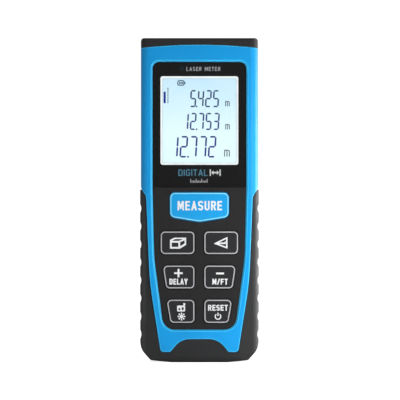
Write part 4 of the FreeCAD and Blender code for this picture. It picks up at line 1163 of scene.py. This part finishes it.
def pale_floor():
    """A wide pale floor that looks as bright as the surround but lights the object only a little."""
    material, tree, shader = new_material("pale_floor")
    shade = spread(tree, noise(tree, 60.0), 0, 1)
    tree.links.new(mixed(tree, shade, *FLOOR_SHADES), shader.inputs["Base Color"])
    shader.inputs["Roughness"].default_value = 0.9
    shader.inputs["Emission Color"].default_value = (1, 1, 1, 1)
    tree.links.new(seen_by_camera(tree, 0.0, FLOOR_GLOW), shader.inputs["Emission Strength"])
    mesh = bpy.data.meshes.new("floor")
    disc = bmesh.new()
    bmesh.ops.create_circle(disc, cap_ends=True, segments=FLOOR_SIDES, radius=FLOOR_RADIUS)
    disc.to_mesh(mesh)
    disc.free()
    mesh.materials.append(material)
    floor = bpy.data.objects.new("floor", mesh)
    bpy.context.scene.collection.objects.link(floor)


def soft_world():
    """A white surround: bright to the camera, and dimmer where it lights the object."""
    world = bpy.data.worlds.new("studio")
    bpy.context.scene.world = world
    world.use_nodes = True
    tree = world.node_tree
    background = tree.nodes["Background"]
    tree.links.new(seen_by_camera(tree, WORLD_LIGHT, WORLD_GLOW), background.inputs["Strength"])
    background.inputs["Color"].default_value = (1, 1, 1, 1)


def soft_light(name, place, aim, width, height, radiance, mirrored):
    """An area light of the given brightness that looks at the aim; lengths in millimetres."""
    lamp = bpy.data.lights.new(name, "AREA")
    lamp.shape = "RECTANGLE"
    lamp.size = width * MM
    lamp.size_y = height * MM
    lamp.energy = radiance * math.pi * lamp.size * lamp.size_y
    holder = bpy.data.objects.new(name, lamp)
    holder.location = Vector(place) * MM
    holder.rotation_euler = (Vector(aim) - Vector(place)).to_track_quat("-Z", "Y").to_euler()
    holder.visible_camera = False
    holder.visible_glossy = mirrored
    holder.visible_transmission = mirrored
    bpy.context.scene.collection.objects.link(holder)


def add_camera(box):
    """A camera that looks straight at the front, with its aim close to the middle of the object's box."""
    low, high = box
    camera = bpy.data.cameras.new("camera")
    camera.sensor_width = SENSOR
    camera.lens = SENSOR * (CAMERA_DISTANCE + low.y / MM) / VIEW_WIDTH
    camera.clip_start = NEAREST_SEEN
    camera.clip_end = FARTHEST_SEEN
    holder = bpy.data.objects.new("camera", camera)
    middle = (low + high) / 2
    aim = Vector((middle.x + CAMERA_SHIFT * MM, 0, middle.z + CAMERA_RISE * MM))
    holder.location = aim - Vector((0, CAMERA_DISTANCE * MM, 0))
    holder.rotation_euler = (math.radians(90), 0, 0)
    bpy.context.scene.collection.objects.link(holder)
    bpy.context.scene.camera = holder


def add_studio():
    """The surround, the floor and the lamps."""
    bpy.context.scene.view_settings.view_transform = "Standard"
    pale_floor()
    soft_world()
    for name, values in LAMPS.items():
        soft_light(name, *values)


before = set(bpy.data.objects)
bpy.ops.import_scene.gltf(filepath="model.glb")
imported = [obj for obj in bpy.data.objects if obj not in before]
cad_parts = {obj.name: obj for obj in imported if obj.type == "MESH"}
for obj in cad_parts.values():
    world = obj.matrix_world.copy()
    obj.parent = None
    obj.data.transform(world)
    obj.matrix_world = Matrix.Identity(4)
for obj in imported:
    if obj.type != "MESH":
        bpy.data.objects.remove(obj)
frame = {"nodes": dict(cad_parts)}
cad_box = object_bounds()
materials = make_materials()
dress_nodes(frame, materials)
window = window_box(frame)
display_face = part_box("lcd_cell")[0].y
add_display_edge(materials, window, display_face)
add_readings(materials, window, display_face)
add_display_signs(materials, window, display_face)
add_key_outlines(frame, materials)
add_legends(materials)
add_lens_prints(materials, window)
add_gap_cover(materials)
add_camera(cad_box)
add_studio()
